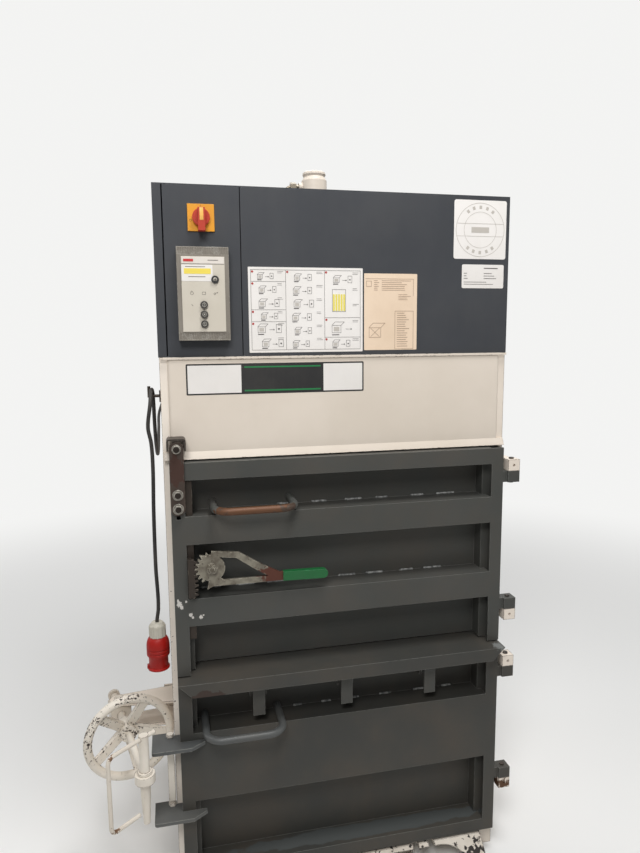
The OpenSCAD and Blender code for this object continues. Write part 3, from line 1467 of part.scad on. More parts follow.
side_wall_left();
side_wall_right();
back_wall();
base_floor();
top_beam();
front_band();
keeper();
hood_shell();
control_cover();
front_cover();
deck_plate();
control_box();
control_panel();
switch_plate();
switch_box();
oil_tank();
motor();
valve_block();
press_cylinder();
pressure_pipe();
return_hose();
hinge_lugs();
hinge_pins();
lock_bracket();
cable_gland();
cable_hook();
mains_cable();
plug_nut();
plug_body();
upper_door();
upper_handle();
lever_stud();
slide_bar();
rack();
latch_bar();
latch_bolts();
lever();
lever_grip();
lower_door();
lower_handle();
lock_plates();
lock_bar();
claw_pins();
claw_left();
claw_middle();
claw_right();
piston_rod();
press_plate();
guide_pads();
trunnion();
spindle_eye();
locking_pin();
bow_handle();
handwheel();
spindle();
main_knob();
key_switch();
button_up();
button_stop();
button_down();
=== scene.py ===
"""Looks of an upright cardboard baler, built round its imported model."""

from __future__ import annotations

import logging
import math
import random
from dataclasses import dataclass, field, replace
from enum import Enum
from typing import Callable, Iterable, Sequence

import bpy
from mathutils import Euler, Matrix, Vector

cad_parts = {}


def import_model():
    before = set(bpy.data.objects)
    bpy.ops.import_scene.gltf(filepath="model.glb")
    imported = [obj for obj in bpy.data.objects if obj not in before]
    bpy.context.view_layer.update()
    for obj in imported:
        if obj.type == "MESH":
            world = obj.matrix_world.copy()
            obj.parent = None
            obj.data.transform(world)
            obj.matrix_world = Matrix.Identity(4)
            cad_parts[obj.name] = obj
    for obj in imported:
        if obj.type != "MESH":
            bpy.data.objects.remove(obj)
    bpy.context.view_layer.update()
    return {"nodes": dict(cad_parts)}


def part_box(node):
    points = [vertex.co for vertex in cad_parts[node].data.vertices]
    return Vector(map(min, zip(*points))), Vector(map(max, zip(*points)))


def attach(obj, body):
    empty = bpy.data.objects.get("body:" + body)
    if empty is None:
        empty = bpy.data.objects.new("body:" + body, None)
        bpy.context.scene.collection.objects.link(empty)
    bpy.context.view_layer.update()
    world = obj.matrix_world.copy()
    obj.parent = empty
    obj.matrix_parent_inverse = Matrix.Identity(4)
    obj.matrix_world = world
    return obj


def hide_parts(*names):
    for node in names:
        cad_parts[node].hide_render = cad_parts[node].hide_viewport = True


LOG = logging.getLogger("baler")
Point = tuple[float, float, float]
Spot = tuple[float, float]
Colour = tuple[float, float, float]
Thing = bpy.types.Object
Shapes = list[bpy.types.Object]
Socket = bpy.types.NodeSocket
Group = bpy.types.NodeTree
Inputs = Sequence[tuple[str, str, object]]
UPRIGHT = (math.pi / 2, 0.0, 0.0)


class Body(Enum):
    """Bodies of the model that new pieces ride on."""

    FRAME = "frame"
    UPPER_DOOR = "upper_door_body"
    LOWER_DOOR = "lower_door_body"
    KNOB = "main_knob_body"
    KEY = "key_body"
    UP = "button_up_body"
    STOP = "button_stop_body"
    DOWN = "button_down_body"


def srgb(red: int, green: int, blue: int) -> Colour:
    """Turns a colour of 0 to 255 into the linear values of a shader.

    Args:
        red: Red part.
        green: Green part.
        blue: Blue part.

    Returns:
        Linear red, green and blue.
    """
    def line(value: float) -> float:
        """Linear value of one part."""
        value /= 255
        return value / 12.92 if value <= 0.04045 else ((value + 0.055) / 1.055) ** 2.4

    return line(red), line(green), line(blue)


class Tree:
    """A node tree with short ways to add and join nodes."""

    def __init__(self, tree: bpy.types.NodeTree) -> None:
        """Keeps the tree."""
        self.tree = tree

    def join(self, value: object, socket: Socket) -> None:
        """Links a socket, or writes a value or a colour into it.

        Args:
            value: Another node's output, a colour or a plain value.
            socket: The input that takes it.
        """
        if isinstance(value, bpy.types.NodeSocket):
            self.tree.links.new(value, socket)
        elif isinstance(value, tuple) and len(value) == 3 and socket.type == "RGBA":
            socket.default_value = (*value, 1.0)
        else:
            socket.default_value = value

    def add(self, kind: str, links: dict[str | int, object] | None = None,
            **settings: object) -> bpy.types.Node:
        """Adds a node and fills its sockets.

        Args:
            kind: Node type without the ShaderNode prefix.
            links: Socket name or number to a value or to another socket.
            settings: Properties of the node.

        Returns:
            The new node.
        """
        node = self.tree.nodes.new(f"ShaderNode{kind}")
        for name, value in settings.items():
            setattr(node, name, value)
        for key, value in (links or {}).items():
            self.join(value, node.inputs[key])
        return node

    def math(self, operation: str, first: object, second: object = 0.0, clamp: bool = False) -> Socket:
        """Adds a Math node and returns its output."""
        return self.add("Math", {0: first, 1: second}, operation=operation, use_clamp=clamp).outputs[0]

    def ramp(self, value: object, low: float, high: float) -> Socket:
        """Maps low to 0 and high to 1, clamped and smooth."""
        links = {0: value, 1: low, 2: high}
        return self.add("MapRange", links, interpolation_type="SMOOTHSTEP").outputs[0]

    def mix(self, mask: object, first: object, second: object) -> Socket:
        """Mixes two colours.

        Args:
            mask: How much of the second colour shows.
            first: First colour.
            second: Second colour.

        Returns:
            The mixed colour.
        """
        node = self.add("Mix", data_type="RGBA")
        for number, value in ((0, mask), (6, first), (7, second)):
            self.join(value, node.inputs[number])
        return node.outputs[2]

    def noise(self, vector: object, scale: object, detail: float = 3.0, rough: float = 0.6) -> Socket:
        """Adds a noise texture and returns its value."""
        links = {"Vector": vector, "Scale": scale, "Detail": detail, "Roughness": rough}
        return self.add("TexNoise", links).outputs[0]

    def far(self, vector: object, centre: object, size: object) -> Socket:
        """Measures how far a place is from a centre.

        Args:
            vector: The place.
            centre: The centre.
            size: Length of one unit along each axis.

        Returns:
            The distance in those units.
        """
        away = self.add("VectorMath", {0: vector, 1: centre}, operation="SUBTRACT")
        unit = self.add("VectorMath", {0: away.outputs[0], 1: size}, operation="DIVIDE")
        return self.add("VectorMath", {0: unit.outputs[0]}, operation="LENGTH").outputs["Value"]

    def group(self, tree: Group, links: dict[str, object]) -> Socket:
        """Places a node group.

        Args:
            tree: The group.
            links: Input name to a value or to another socket.

        Returns:
            Its first output.
        """
        node = self.tree.nodes.new("ShaderNodeGroup")
        node.node_tree = tree
        for key, value in links.items():
            self.join(value, node.inputs[key])
        return node.outputs[0]


def new_group(name: str, inputs: Inputs, output: str) -> tuple[Tree, bpy.types.Node, Socket]:
    """Starts a node group with named sockets.

    Args:
        name: Name of the group.
        inputs: Socket name, socket type and default of each input.
        output: Name of the value that it puts out.

    Returns:
        The tree, its input node and the socket that takes the result.
    """
    tree = bpy.data.node_groups.new(name, "ShaderNodeTree")
    for label, kind, value in inputs:
        socket = tree.interface.new_socket(label, in_out="INPUT", socket_type=f"NodeSocket{kind}")
        if value is not None:
            socket.default_value = value
    tree.interface.new_socket(output, in_out="OUTPUT", socket_type="NodeSocketFloat")
    start = tree.nodes.new("NodeGroupInput")
    return Tree(tree), start, tree.nodes.new("NodeGroupOutput").inputs[0]


class Effects:
    """Node groups that several finishes share."""

    def __init__(self) -> None:
        """Builds the groups once."""
        self.edge = self._edge()
        self.chips = self._chips()
        self.dirt = self._dirt()
        self.patch = self._patch()
        self.speckle = self._speckle()
        self.skin = self._skin()

    def _edge(self) -> Group:
        """Builds the mask of sharp edges, broken up by noise.

        Returns:
            The group.
        """
        inputs = (("Vector", "Vector", None), ("Width", "Float", 0.003), ("Amount", "Float", 0.5),
                  ("Scale", "Float", 60.0))
        tree, start, end = new_group("edge_wear_and_sheen", inputs, "Mask")
        bevel = tree.add("Bevel", {"Radius": start.outputs["Width"]}, samples=6)
        flat = tree.add("NewGeometry")
        both = {0: bevel.outputs[0], 1: flat.outputs["Normal"]}
        dot = tree.add("VectorMath", both, operation="DOT_PRODUCT").outputs["Value"]
        sharp = tree.ramp(tree.math("SUBTRACT", 1.0, dot), 0.002, 0.1)
        grain = tree.noise(start.outputs["Vector"], start.outputs["Scale"], 4.0, 0.65)
        level = tree.math("MULTIPLY", tree.math("SUBTRACT", 1.0, start.outputs["Amount"]), 0.75)
        cut = tree.math("SUBTRACT", tree.math("MULTIPLY", sharp, grain), level)
        tree.join(tree.ramp(cut, 0.0, 0.05), end)
        return tree.tree

    def _chips(self) -> Group:
        """Builds the mask of scattered chips and scratches.

        Returns:
            The group.
        """
        inputs = (("Vector", "Vector", None), ("Scale", "Float", 30.0), ("Amount", "Float", 0.3))
        tree, start, end = new_group("paint_chips", inputs, "Mask")
        vector = start.outputs["Vector"]
        small = tree.noise(vector, start.outputs["Scale"], 5.0, 0.7)
        total = tree.math("ADD", small, tree.math("MULTIPLY", tree.noise(vector, 3.1, 2.0), 0.35))
        level = tree.math("SUBTRACT", 1.02, tree.math("MULTIPLY", start.outputs["Amount"], 0.3))
        tree.join(tree.ramp(tree.math("SUBTRACT", total, level), 0.0, 0.02), end)
        return tree.tree

    def _dirt(self) -> Group:
        """Builds the mask of soft dust, finger marks and faint runs down the sheet.

        Returns:
            The group.
        """
        inputs = (("Vector", "Vector", None), ("Scale", "Float", 5.0), ("Amount", "Float", 0.5),
                  ("Runs", "Float", 0.2))
        tree, start, end = new_group("dirt", inputs, "Mask")
        vector = start.outputs["Vector"]
        wide = tree.noise(vector, start.outputs["Scale"], 6.0, 0.62)
        stretch = tree.add("Mapping", {"Vector": vector, "Scale": (9.0, 9.0, 1.4)})
        runs = tree.noise(stretch.outputs[0], 4.0, 4.0, 0.6)
        links = {0: start.outputs["Runs"], 2: wide, 3: runs}
        mixed = tree.add("Mix", links, data_type="FLOAT").outputs[0]
        tree.join(tree.math("MULTIPLY", tree.ramp(mixed, 0.38, 0.72), start.outputs["Amount"]), end)
        return tree.tree

    def _place(self, name: str, scale: float) -> tuple[Tree, bpy.types.Node, Socket, Socket]:
        """Starts the mask of a worn place.

        Args:
            name: Name of the group.
            scale: Grain that it has unless it is told otherwise.

        Returns:
            The tree, its input node, the socket that takes the result, and the distance from the
            place in units of its size.
        """
        inputs = (("Vector", "Vector", None), ("Centre", "Vector", None), ("Size", "Vector", None),
                  ("Ragged", "Float", 0.5), ("Scale", "Float", scale))
        tree, start, end = new_group(name, inputs, "Mask")
        away = tree.far(start.outputs["Vector"], start.outputs["Centre"], start.outputs["Size"])
        return tree, start, end, away

    def _patch(self) -> Group:
        """Builds the mask of a rubbed place round a point, ragged at its rim.

        Returns:
            The group.
        """
        tree, start, end, away = self._place("rubbed_patch", 45.0)
        grain = tree.noise(start.outputs["Vector"], start.outputs["Scale"], 5.0, 0.7)
        rag = tree.math("MULTIPLY", tree.math("SUBTRACT", grain, 0.5), start.outputs["Ragged"])
        near = tree.math("SUBTRACT", 1.0, tree.math("ADD", away, tree.math("MULTIPLY", rag, 4.0)))
        tree.join(tree.ramp(near, 0.0, 0.12), end)
        return tree.tree

    def _speckle(self) -> Group:
        """Builds the mask of many small chips that thin out away from a point.

        Returns:
            The group.
        """
        tree, start, end, away = self._place("speckled_patch", 120.0)
        dense = tree.math("MULTIPLY", tree.ramp(away, 1.0, 0.0), start.outputs["Ragged"])
        grain = tree.noise(start.outputs["Vector"], start.outputs["Scale"], 4.0, 0.6)
        tree.join(tree.ramp(tree.math("ADD", grain, tree.math("MULTIPLY", dense, 0.22)), 0.67, 0.69), end)
        return tree.tree

    def _skin(self) -> Group:
        """Builds the height of the fine skin of sprayed paint or cast metal.

        Returns:
            The group.
        """
        inputs = (("Vector", "Vector", None), ("Scale", "Float", 300.0), ("Waves", "Float", 0.5))
        tree, start, end = new_group("skin", inputs, "Height")
        vector = start.outputs["Vector"]
        wide = tree.math("MULTIPLY", tree.noise(vector, 9.0, 2.0), start.outputs["Waves"])
        tree.join(tree.math("ADD", tree.noise(vector, start.outputs["Scale"], 2.0), wide), end)
        return tree.tree


class Wear(Enum):
    """How a place is worn."""

    RUBBED = "rubbed through, with a ragged rim"
    SPECKLED = "chipped in many small places"


@dataclass(frozen=True)
class Worn:
    """A place where the finish is gone or stained."""

    centre: Point
    size: Point
    colour: Colour
    ragged: float = 0.5
    scale: float = 45.0
    wear: Wear = Wear.RUBBED


@dataclass(frozen=True)
class Paint:
    """Sprayed or brushed paint on metal, moulded plastic or bare metal, with its wear."""

    name: str
    base: Colour
    tone: Colour
    under: Colour = srgb(60, 54, 48)
    bare: Colour = srgb(52, 47, 43)
    dust: Colour = srgb(120, 114, 104)
    edge: float = 0.3
    edge_width: float = 0.003
    edge_scale: float = 70.0
    chips: float = 0.1
    chip_scale: float = 32.0
    dirt: float = 0.3
    dirt_scale: float = 5.0
    runs: float = 0.2
    rough: float = 0.42
    metal: float = 0.0
    bare_metal: float = 0.2
    gloss: float = 0.4
    bump: float = 0.12
    skin_scale: float = 320.0
    waves: float = 0.5
    worn: tuple[Worn, ...] = ()
    tone_scale: float = 2.4
    rounding: float = 0.0015

    def colours(self, tree: Tree, effects: Effects, vector: object) -> tuple[object, object, object, object]:
        """Mixes the colour and its masks.

        Args:
            tree: Tree of the material.
            effects: Shared node groups.
            vector: Place on the piece.

        Returns:
            Colour, dirt, what is gone down to the metal (on the door's sharp edges partly painted
            highlight), and chips.
        """
        tones = tree.ramp(tree.noise(vector, self.tone_scale, 4.0), 0.35, 0.68)
        colour = tree.mix(tones, self.base, self.tone)
        dirt = tree.group(effects.dirt, {
            "Vector": vector, "Scale": self.dirt_scale, "Amount": self.dirt, "Runs": self.runs})
        colour = tree.mix(dirt, colour, self.dust)
        chips = tree.group(effects.chips, {"Vector": vector, "Scale": self.chip_scale, "Amount": self.chips})
        colour = tree.mix(chips, colour, self.under)
        # Sharp edges take the bare colour: worn edges, and on the door partly painted highlight.
        gone = tree.group(effects.edge, {
            "Vector": vector, "Width": self.edge_width, "Amount": self.edge, "Scale": self.edge_scale})
        colour = tree.mix(gone, colour, self.bare)
        for place in self.worn:
            kind = effects.speckle if place.wear is Wear.SPECKLED else effects.patch
            spot = tree.group(kind, {
                "Vector": vector, "Centre": place.centre, "Size": place.size,
                "Ragged": place.ragged, "Scale": place.scale})
            colour = tree.mix(spot, colour, place.colour)
            gone = tree.math("MAXIMUM", gone, spot)
        return colour, dirt, gone, chips

    def build(self, effects: Effects) -> bpy.types.Material:
        """Makes the material.

        Args:
            effects: Shared node groups.

        Returns:
            The finished material.
        """
        material = bpy.data.materials.new(self.name)
        material.use_nodes = True
        tree = Tree(material.node_tree)
        tree.tree.nodes.clear()
        vector = tree.add("TexCoord").outputs["Object"]
        colour, dirt, gone, chips = self.colours(tree, effects, vector)
        dull = tree.math("MULTIPLY", tree.math("ADD", dirt, gone), 0.2)
        rough = tree.math("ADD", self.rough, dull, clamp=True)
        metal = tree.math("ADD", self.metal, tree.math("MULTIPLY", gone, self.bare_metal), clamp=True)
        skin = tree.group(effects.skin, {"Vector": vector, "Scale": self.skin_scale, "Waves": self.waves})
        loss = tree.math("MULTIPLY", tree.math("MAXIMUM", gone, chips), 1.6)
        height = tree.math("SUBTRACT", skin, loss)
        rounded = tree.add("Bevel", {"Radius": self.rounding}, samples=4)
        bump = tree.add("Bump", {
            "Strength": self.bump, "Distance": 0.0012, "Height": height, "Normal": rounded.outputs[0]})
        shader = tree.add("BsdfPrincipled", {
            "Base Color": colour, "Roughness": rough, "Metallic": metal, "Normal": bump.outputs[0],
            "Specular IOR Level": self.gloss})
        tree.add("OutputMaterial", {"Surface": shader.outputs[0]})
        return material


def dress(thing: Thing, material: bpy.types.Material) -> None:
    """Puts one material on every face of an object.

    Args:
        thing: The object.
        material: The material.
    """
    thing.data.materials.clear()
    thing.data.materials.append(material)
    for polygon in getattr(thing.data, "polygons", []):
        polygon.material_index = 0


@dataclass
class Workshop:
    """The CAD nodes, the finishes made so far and the ways to dress and fit a piece."""

    nodes: dict[str, Thing]
    effects: Effects = field(default_factory=Effects)
    made: dict[str, bpy.types.Material] = field(default_factory=dict)

    def finish(self, paint: Paint) -> bpy.types.Material:
        """Builds a finish the first time that it is asked for.

        Args:
            paint: The finish.

        Returns:
            Its material.
        """
        if paint.name not in self.made:
            self.made[paint.name] = paint.build(self.effects)
        return self.made[paint.name]

    def coat(self, paint: Paint, *names: str) -> None:
        """Dresses CAD nodes in one finish.

        Args:
            paint: The finish.
            names: The nodes.
        """
        for name in names:
            dress(self.nodes[name], self.finish(paint))
            LOG.info("%s wears %s", name, paint.name)

    def fit(self, thing: Thing, paint: Paint, body: Body = Body.FRAME) -> Thing:
        """Dresses a new piece and lets it ride.

        Args:
            thing: The piece.
            paint: Its finish.
            body: The body that it rides on.

        Returns:
            The same piece.
        """
        dress(thing, self.finish(paint))
        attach(thing, body.value)
        LOG.info("%s: %d faces on %s", thing.name, len(thing.data.polygons), body.value)
        return thing


def deselect() -> None:
    """Leaves object mode with nothing selected."""
    if bpy.context.mode != "OBJECT":
        bpy.ops.object.mode_set(mode="OBJECT")
    bpy.ops.object.select_all(action="DESELECT")
    bpy.context.view_layer.objects.active = None


def choose(things: Iterable[Thing]) -> None:
    """Selects objects and makes the first one active.

    Args:
        things: The objects.
    """
    deselect()
    rows = list(things)
    for thing in rows:
        thing.select_set(True)
    bpy.context.view_layer.objects.active = rows[0]


def settle(thing: Thing, name: str) -> Thing:
    """Applies modifiers and place, and names the piece.

    Args:
        thing: Piece as modelled.
        name: Its name.

    Returns:
        The same piece with its place in its mesh.
    """
    choose([thing])
    for modifier in list(thing.modifiers):
        bpy.ops.object.modifier_apply(modifier=modifier.name)
    bpy.ops.object.transform_apply(location=True, rotation=True, scale=True)
    thing.name = name
    thing.data.name = name
    return thing


def joined(things: Sequence[Thing], name: str) -> Thing:
    """Joins settled pieces into one.

    Args:
        things: Pieces at the origin.
        name: Name of the whole.

    Returns:
        The joined piece.
    """
    choose(things)
    if len(things) > 1:
        bpy.ops.object.join()
    whole = bpy.context.view_layer.objects.active
    whole.name = name
    whole.data.name = name
    return whole


def pick(test: Callable[[Vector, Vector], bool]) -> None:
    """Selects faces of the active mesh and ends in edit mode.

    Args:
        test: Says of a face's centre and normal whether it is selected.
    """
    bpy.ops.object.mode_set(mode="EDIT")
    bpy.ops.mesh.select_mode(type="FACE")
    bpy.ops.mesh.select_all(action="DESELECT")
    bpy.ops.object.mode_set(mode="OBJECT")
    for polygon in bpy.context.active_object.data.polygons:
        polygon.select = test(polygon.center, polygon.normal)
    bpy.ops.object.mode_set(mode="EDIT")


def block(name: str, low: Point, high: Point, round_by: float) -> Thing:
    """Makes a box between two corners, with rounded edges.

    Args:
        name: Name of the piece.
        low: Lowest corner.
        high: Highest corner.
        round_by: Radius of its edges.

    Returns:
        The piece.
    """
    deselect()
    bpy.ops.mesh.primitive_cube_add(size=1, location=[(a + b) / 2 for a, b in zip(low, high)])
    thing = bpy.context.active_object
    thing.scale = [b - a for a, b in zip(low, high)]
    bpy.ops.object.transform_apply(location=False, rotation=False, scale=True)
    bpy.ops.object.mode_set(mode="EDIT")
    bpy.ops.mesh.select_all(action="SELECT")
    bpy.ops.mesh.bevel(offset=round_by, segments=3, affect="EDGES")
    bpy.ops.object.mode_set(mode="OBJECT")
    thing = settle(thing, name)
    bpy.ops.object.shade_smooth_by_angle(angle=math.radians(35))
    return thing


def disc(name: str, centre: Point, radius: float, depth: float, round_by: float) -> Thing:
    """Makes a round disc that faces the front, with bevelled rims.

    Args:
        name: Name of the piece.
        centre: Its middle.
        radius: Its radius.
        depth: Its thickness.
        round_by: Bevel of its rims.

    Returns:
        The piece.
    """
    deselect()
    bpy.ops.mesh.primitive_cylinder_add(vertices=32, radius=radius, depth=depth, location=centre,
                                        rotation=UPRIGHT)
    thing = bpy.context.active_object
    pick(lambda middle, normal: abs(normal.z) > 0.9)
    bpy.ops.mesh.bevel(offset=round_by, segments=2, affect="EDGES")
    bpy.ops.object.mode_set(mode="OBJECT")
    thing = settle(thing, name)
    bpy.ops.object.shade_smooth_by_angle(angle=math.radians(35))
    return thing


def turned(name: str, centre: Point, profile: Sequence[Spot], sides: int = 40) -> Thing:
    """Turns a piece, drawn up ring by ring from its foot.

    Args:
        name: Name of the piece.
        centre: Foot of its axis.
        profile: Radius and height of each ring, from the foot up.
        sides: Number of sides.

    Returns:
        The closed piece.
    """
    deselect()
    radius, rise = profile[0]
    start = (centre[0], centre[1], centre[2] + rise)
    bpy.ops.mesh.primitive_circle_add(vertices=sides, radius=radius, fill_type="NGON", location=start)
    thing = bpy.context.active_object
    bpy.ops.object.mode_set(mode="EDIT")
    bpy.ops.mesh.select_mode(type="FACE")
    bpy.ops.mesh.select_all(action="SELECT")
    for (before, low), (after, high) in zip(profile, profile[1:]):
        bpy.ops.mesh.extrude_region_move(TRANSFORM_OT_translate={"value": (0, 0, high - low)})
        bpy.ops.transform.resize(value=(after / before, after / before, 1))
    bpy.ops.mesh.select_all(action="SELECT")
    bpy.ops.mesh.normals_make_consistent(inside=False)
    bpy.ops.object.mode_set(mode="OBJECT")
    thing = settle(thing, name)
    bpy.ops.object.shade_smooth_by_angle(angle=math.radians(40))
    return thing


def copied(thing: Thing, name: str, place: Point, stretch: Point = (1, 1, 1)) -> Thing:
    """Makes a copy with its own mesh, stretched about the origin and moved.

    Args:
        thing: Piece modelled at the origin.
        name: Name of the copy.
        place: Where it goes.
        stretch: Scale along each axis.

    Returns:
        The copy.
    """
    twin = thing.copy()
    twin.data = thing.data.copy()
    bpy.context.scene.collection.objects.link(twin)
    twin.scale = stretch
    twin.location = place
    return settle(twin, name)


@dataclass(frozen=True)
class Area:
    """A rectangle on a front, in X and Z."""

    left: float
    right: float
    low: float
    high: float

    def less(self, edge: float) -> Area:
        """The same rectangle without an edge all round."""
        return Area(self.left + edge, self.right - edge, self.low + edge, self.high - edge)

    def meets(self, other: Area) -> bool:
        """Whether two rectangles overlap."""
        across = self.left < other.right and other.left < self.right
        return across and self.low < other.high and other.low < self.high


@dataclass(frozen=True)
class Bars:
    """A block of short plain bars in place of print."""

    left: float
    right: float
    high: float
    rows: int
    pitch: float


@dataclass(frozen=True)
class Printer:
    """Thin printed shapes on one flat front. Places are X and Z."""

    front: float
    thick: float = 0.0003

    def on_top(self) -> Printer:
        """A printer whose front is the face of what this one prints."""
        return Printer(self.front - self.thick, self.thick)

    def thicken(self, thing: Thing, name: str) -> Thing:
        """Gives a flat shape its thickness.

        Args:
            thing: The flat shape in object mode, active.
            name: Its name.

        Returns:
            The closed shape.
        """
        bpy.ops.object.transform_apply(location=False, rotation=True, scale=True)
        bpy.ops.object.mode_set(mode="EDIT")
        bpy.ops.mesh.select_all(action="SELECT")
        bpy.ops.mesh.extrude_region_move(TRANSFORM_OT_translate={"value": (0, -self.thick, 0)})
        bpy.ops.mesh.select_all(action="SELECT")
        bpy.ops.mesh.normals_make_consistent(inside=False)
        bpy.ops.object.mode_set(mode="OBJECT")
        return settle(thing, name)

    def sheet(self, name: str, area: Area, corner: float) -> Thing:
        """Makes a sheet or field with rounded corners.

        Args:
            name: Name of the sheet.
            area: Its edges.
            corner: Radius of its corners.

        Returns:
            The sheet.
        """
        deselect()
        middle = ((area.left + area.right) / 2, self.front, (area.low + area.high) / 2)
        bpy.ops.mesh.primitive_plane_add(size=1, location=middle, rotation=UPRIGHT)
        thing = bpy.context.active_object
        thing.scale = (area.right - area.left, area.high - area.low, 1)
        bpy.ops.object.transform_apply(location=False, rotation=False, scale=True)
        bpy.ops.object.mode_set(mode="EDIT")
        bpy.ops.mesh.select_all(action="SELECT")
        bpy.ops.mesh.bevel(offset=corner, segments=4, affect="VERTICES")
        bpy.ops.object.mode_set(mode="OBJECT")
        return self.thicken(thing, name)

    def bar(self, start: Spot, end: Spot, width: float) -> Thing:
        """Makes a straight printed line or field.

        Args:
            start: Where it starts.
            end: Where it ends.
            width: Its width.

        Returns:
            The bar.
        """
        deselect()
        across, up = end[0] - start[0], end[1] - start[1]
        middle = ((start[0] + end[0]) / 2, self.front, (start[1] + end[1]) / 2)
        turn = (UPRIGHT[0], -math.atan2(up, across), 0)
        bpy.ops.mesh.primitive_plane_add(size=1, location=middle, rotation=turn)
        thing = bpy.context.active_object
        thing.scale = (math.hypot(across, up), width, 1)
        return self.thicken(thing, "bar")

    def circle(self, centre: Spot, radius: float, sides: int) -> Thing:
        """Adds a flat filled circle.

        Args:
            centre: Its centre.
            radius: Its radius.
            sides: Number of sides.

        Returns:
            The circle, active and in object mode.
        """
        deselect()
        place = (centre[0], self.front, centre[1])
        bpy.ops.mesh.primitive_circle_add(vertices=sides, radius=radius, fill_type="NGON", location=place,
                                          rotation=UPRIGHT)
        return bpy.context.active_object

    def dot(self, centre: Spot, radius: float, sides: int = 20) -> Thing:
        """A filled circle, or an arrow head when it has three sides."""
        return self.thicken(self.circle(centre, radius, sides), "dot")

    def ring(self, centre: Spot, radius: float, width: float) -> Thing:
        """Makes a printed ring.

        Args:
            centre: Its centre.
            radius: Its outer radius.
            width: Width of its line.

        Returns:
            The ring.
        """
        thing = self.circle(centre, radius, 48)
        bpy.ops.object.mode_set(mode="EDIT")
        bpy.ops.mesh.select_mode(type="FACE")
        bpy.ops.mesh.select_all(action="SELECT")
        bpy.ops.mesh.inset(thickness=width)
        bpy.ops.mesh.delete(type="FACE")
        bpy.ops.object.mode_set(mode="OBJECT")
        return self.thicken(thing, "ring")

    def frame(self, area: Area, line: float) -> Shapes:
        """Outlines a panel with four lines.

        Args:
            area: Its outer edges.
            line: Width of the lines.

        Returns:
            The lines.
        """
        rows = (area.high - line / 2, area.low + line / 2)
        sides = (area.left + line / 2, area.right - line / 2)
        return [*(self.bar((area.left, z), (area.right, z), line) for z in rows),
                *(self.bar((x, area.low), (x, area.high), line) for x in sides)]

    def crate(self, x: float, z: float, size: float, line: float) -> Shapes:
        """Draws a small box with a raised lid.

        Args:
            x: Left edge of the box.
            z: Foot of the box.
            size: Width of the box, of which the other lengths are shares.
            line: Width of the lines.

        Returns:
            The lines.
        """
        top, up = z + size * 0.8, size * 0.35
        lid = (((x, top), (x + up, top + up)), ((x + size, top), (x + size + up, top + up)),
               ((x + up, top + up), (x + size + up, top + up)))
        return [*self.frame(Area(x, x + size, z, top), line),
                *(self.bar(start, end, line) for start, end in lid)]

    def text(self, bars: Bars, chance: random.Random) -> Shapes:
        """Prints short plain bars in place of words.

        Args:
            bars: Where they stand.
            chance: Seeded chance, which gives their lengths.

        Returns:
            The bars.
        """
        out = []
        for row in range(bars.rows):
            end = bars.left + (bars.right - bars.left) * chance.uniform(0.6, 1.0)
            z = bars.high - row * bars.pitch
            out.append(self.bar((bars.left, z), (end, z), bars.pitch * 0.22))
        return out


HOOD = Paint("hood_paint", srgb(58, 60, 64), srgb(63, 65, 69), dust=srgb(84, 83, 81), dirt=0.2, chips=0.03,
             edge=0.14, bare=srgb(40, 41, 43), rough=0.5, bump=0.08, gloss=0.22)
BAND = Paint("white_paint", srgb(220, 209, 196), srgb(214, 203, 189), under=srgb(96, 80, 66),
             bare=srgb(92, 78, 66), dust=srgb(190, 178, 162), dirt=0.14, runs=0.0, chips=0.08, edge=0.3,
             edge_scale=90.0, rough=0.42, gloss=0.3)
WALL = Paint("wall_paint", srgb(232, 221, 208), srgb(222, 211, 198), under=srgb(96, 80, 66),
             bare=srgb(82, 66, 54), dust=srgb(172, 158, 140), dirt=0.26, chips=0.32, chip_scale=40.0,
             edge=0.6, edge_scale=80.0, rough=0.45, gloss=0.3)
# Door paint: the light bare colour along its sharp edges is partly worn edges and partly painted highlight
# on the rib edges.
DOOR = Paint("door_paint", srgb(69, 70, 67), srgb(75, 75, 72), under=srgb(150, 146, 138),
             bare=srgb(120, 120, 116), dust=srgb(84, 75, 65), dirt=0.34, runs=0.12, chips=0.2,
             chip_scale=46.0, edge=0.5, edge_width=0.002, edge_scale=110.0, rough=0.46, bump=0.1, gloss=0.22)
GREYBAR = Paint("grey_handle", srgb(78, 80, 80), srgb(88, 89, 87), under=srgb(120, 114, 104),
                bare=srgb(132, 132, 126), dust=srgb(88, 84, 78), dirt=0.3, chips=0.3, edge=0.3, rough=0.4,
                metal=0.1, bump=0.15, gloss=0.3)
STEEL = Paint("bare_steel", srgb(150, 146, 138), srgb(120, 114, 106), under=srgb(74, 62, 52),
              bare=srgb(190, 186, 176), dust=srgb(84, 70, 58), dirt=0.4, chips=0.3, edge=0.4, rough=0.34,
              metal=0.8, bare_metal=0.1, bump=0.2)
DARK = Paint("oiled_steel", srgb(52, 47, 43), srgb(68, 60, 53), under=srgb(100, 78, 60),
             bare=srgb(124, 116, 106), dust=srgb(64, 54, 47), dirt=0.4, chips=0.3, edge=0.3, rough=0.42,
             metal=0.6, bare_metal=0.1, bump=0.2)
PIN = Paint("pin_paint", srgb(226, 219, 207), srgb(210, 201, 188), under=srgb(90, 70, 54),
            bare=srgb(92, 72, 56), dust=srgb(168, 154, 136), dirt=0.32, chips=0.35, chip_scale=60.0,
            edge=0.45, edge_scale=100.0, rough=0.38)
BLACK = Paint("black_plastic", srgb(26, 26, 27), srgb(34, 34, 34), dust=srgb(70, 66, 62), dirt=0.35,
              chips=0.0, edge=0.05, bare=srgb(60, 60, 60), rough=0.45, bump=0.08)
RED = Paint("red_plastic", srgb(164, 20, 13), srgb(150, 15, 10), dust=srgb(96, 40, 32), dirt=0.3, chips=0.03,
            edge=0.1, bare=srgb(180, 50, 40), rough=0.42, bump=0.06, gloss=0.25)
INK_SKIN = {"dirt": 0.1, "chips": 0.0, "edge": 0.0, "rough": 0.5, "bump": 0.0, "rounding": 0.0002}
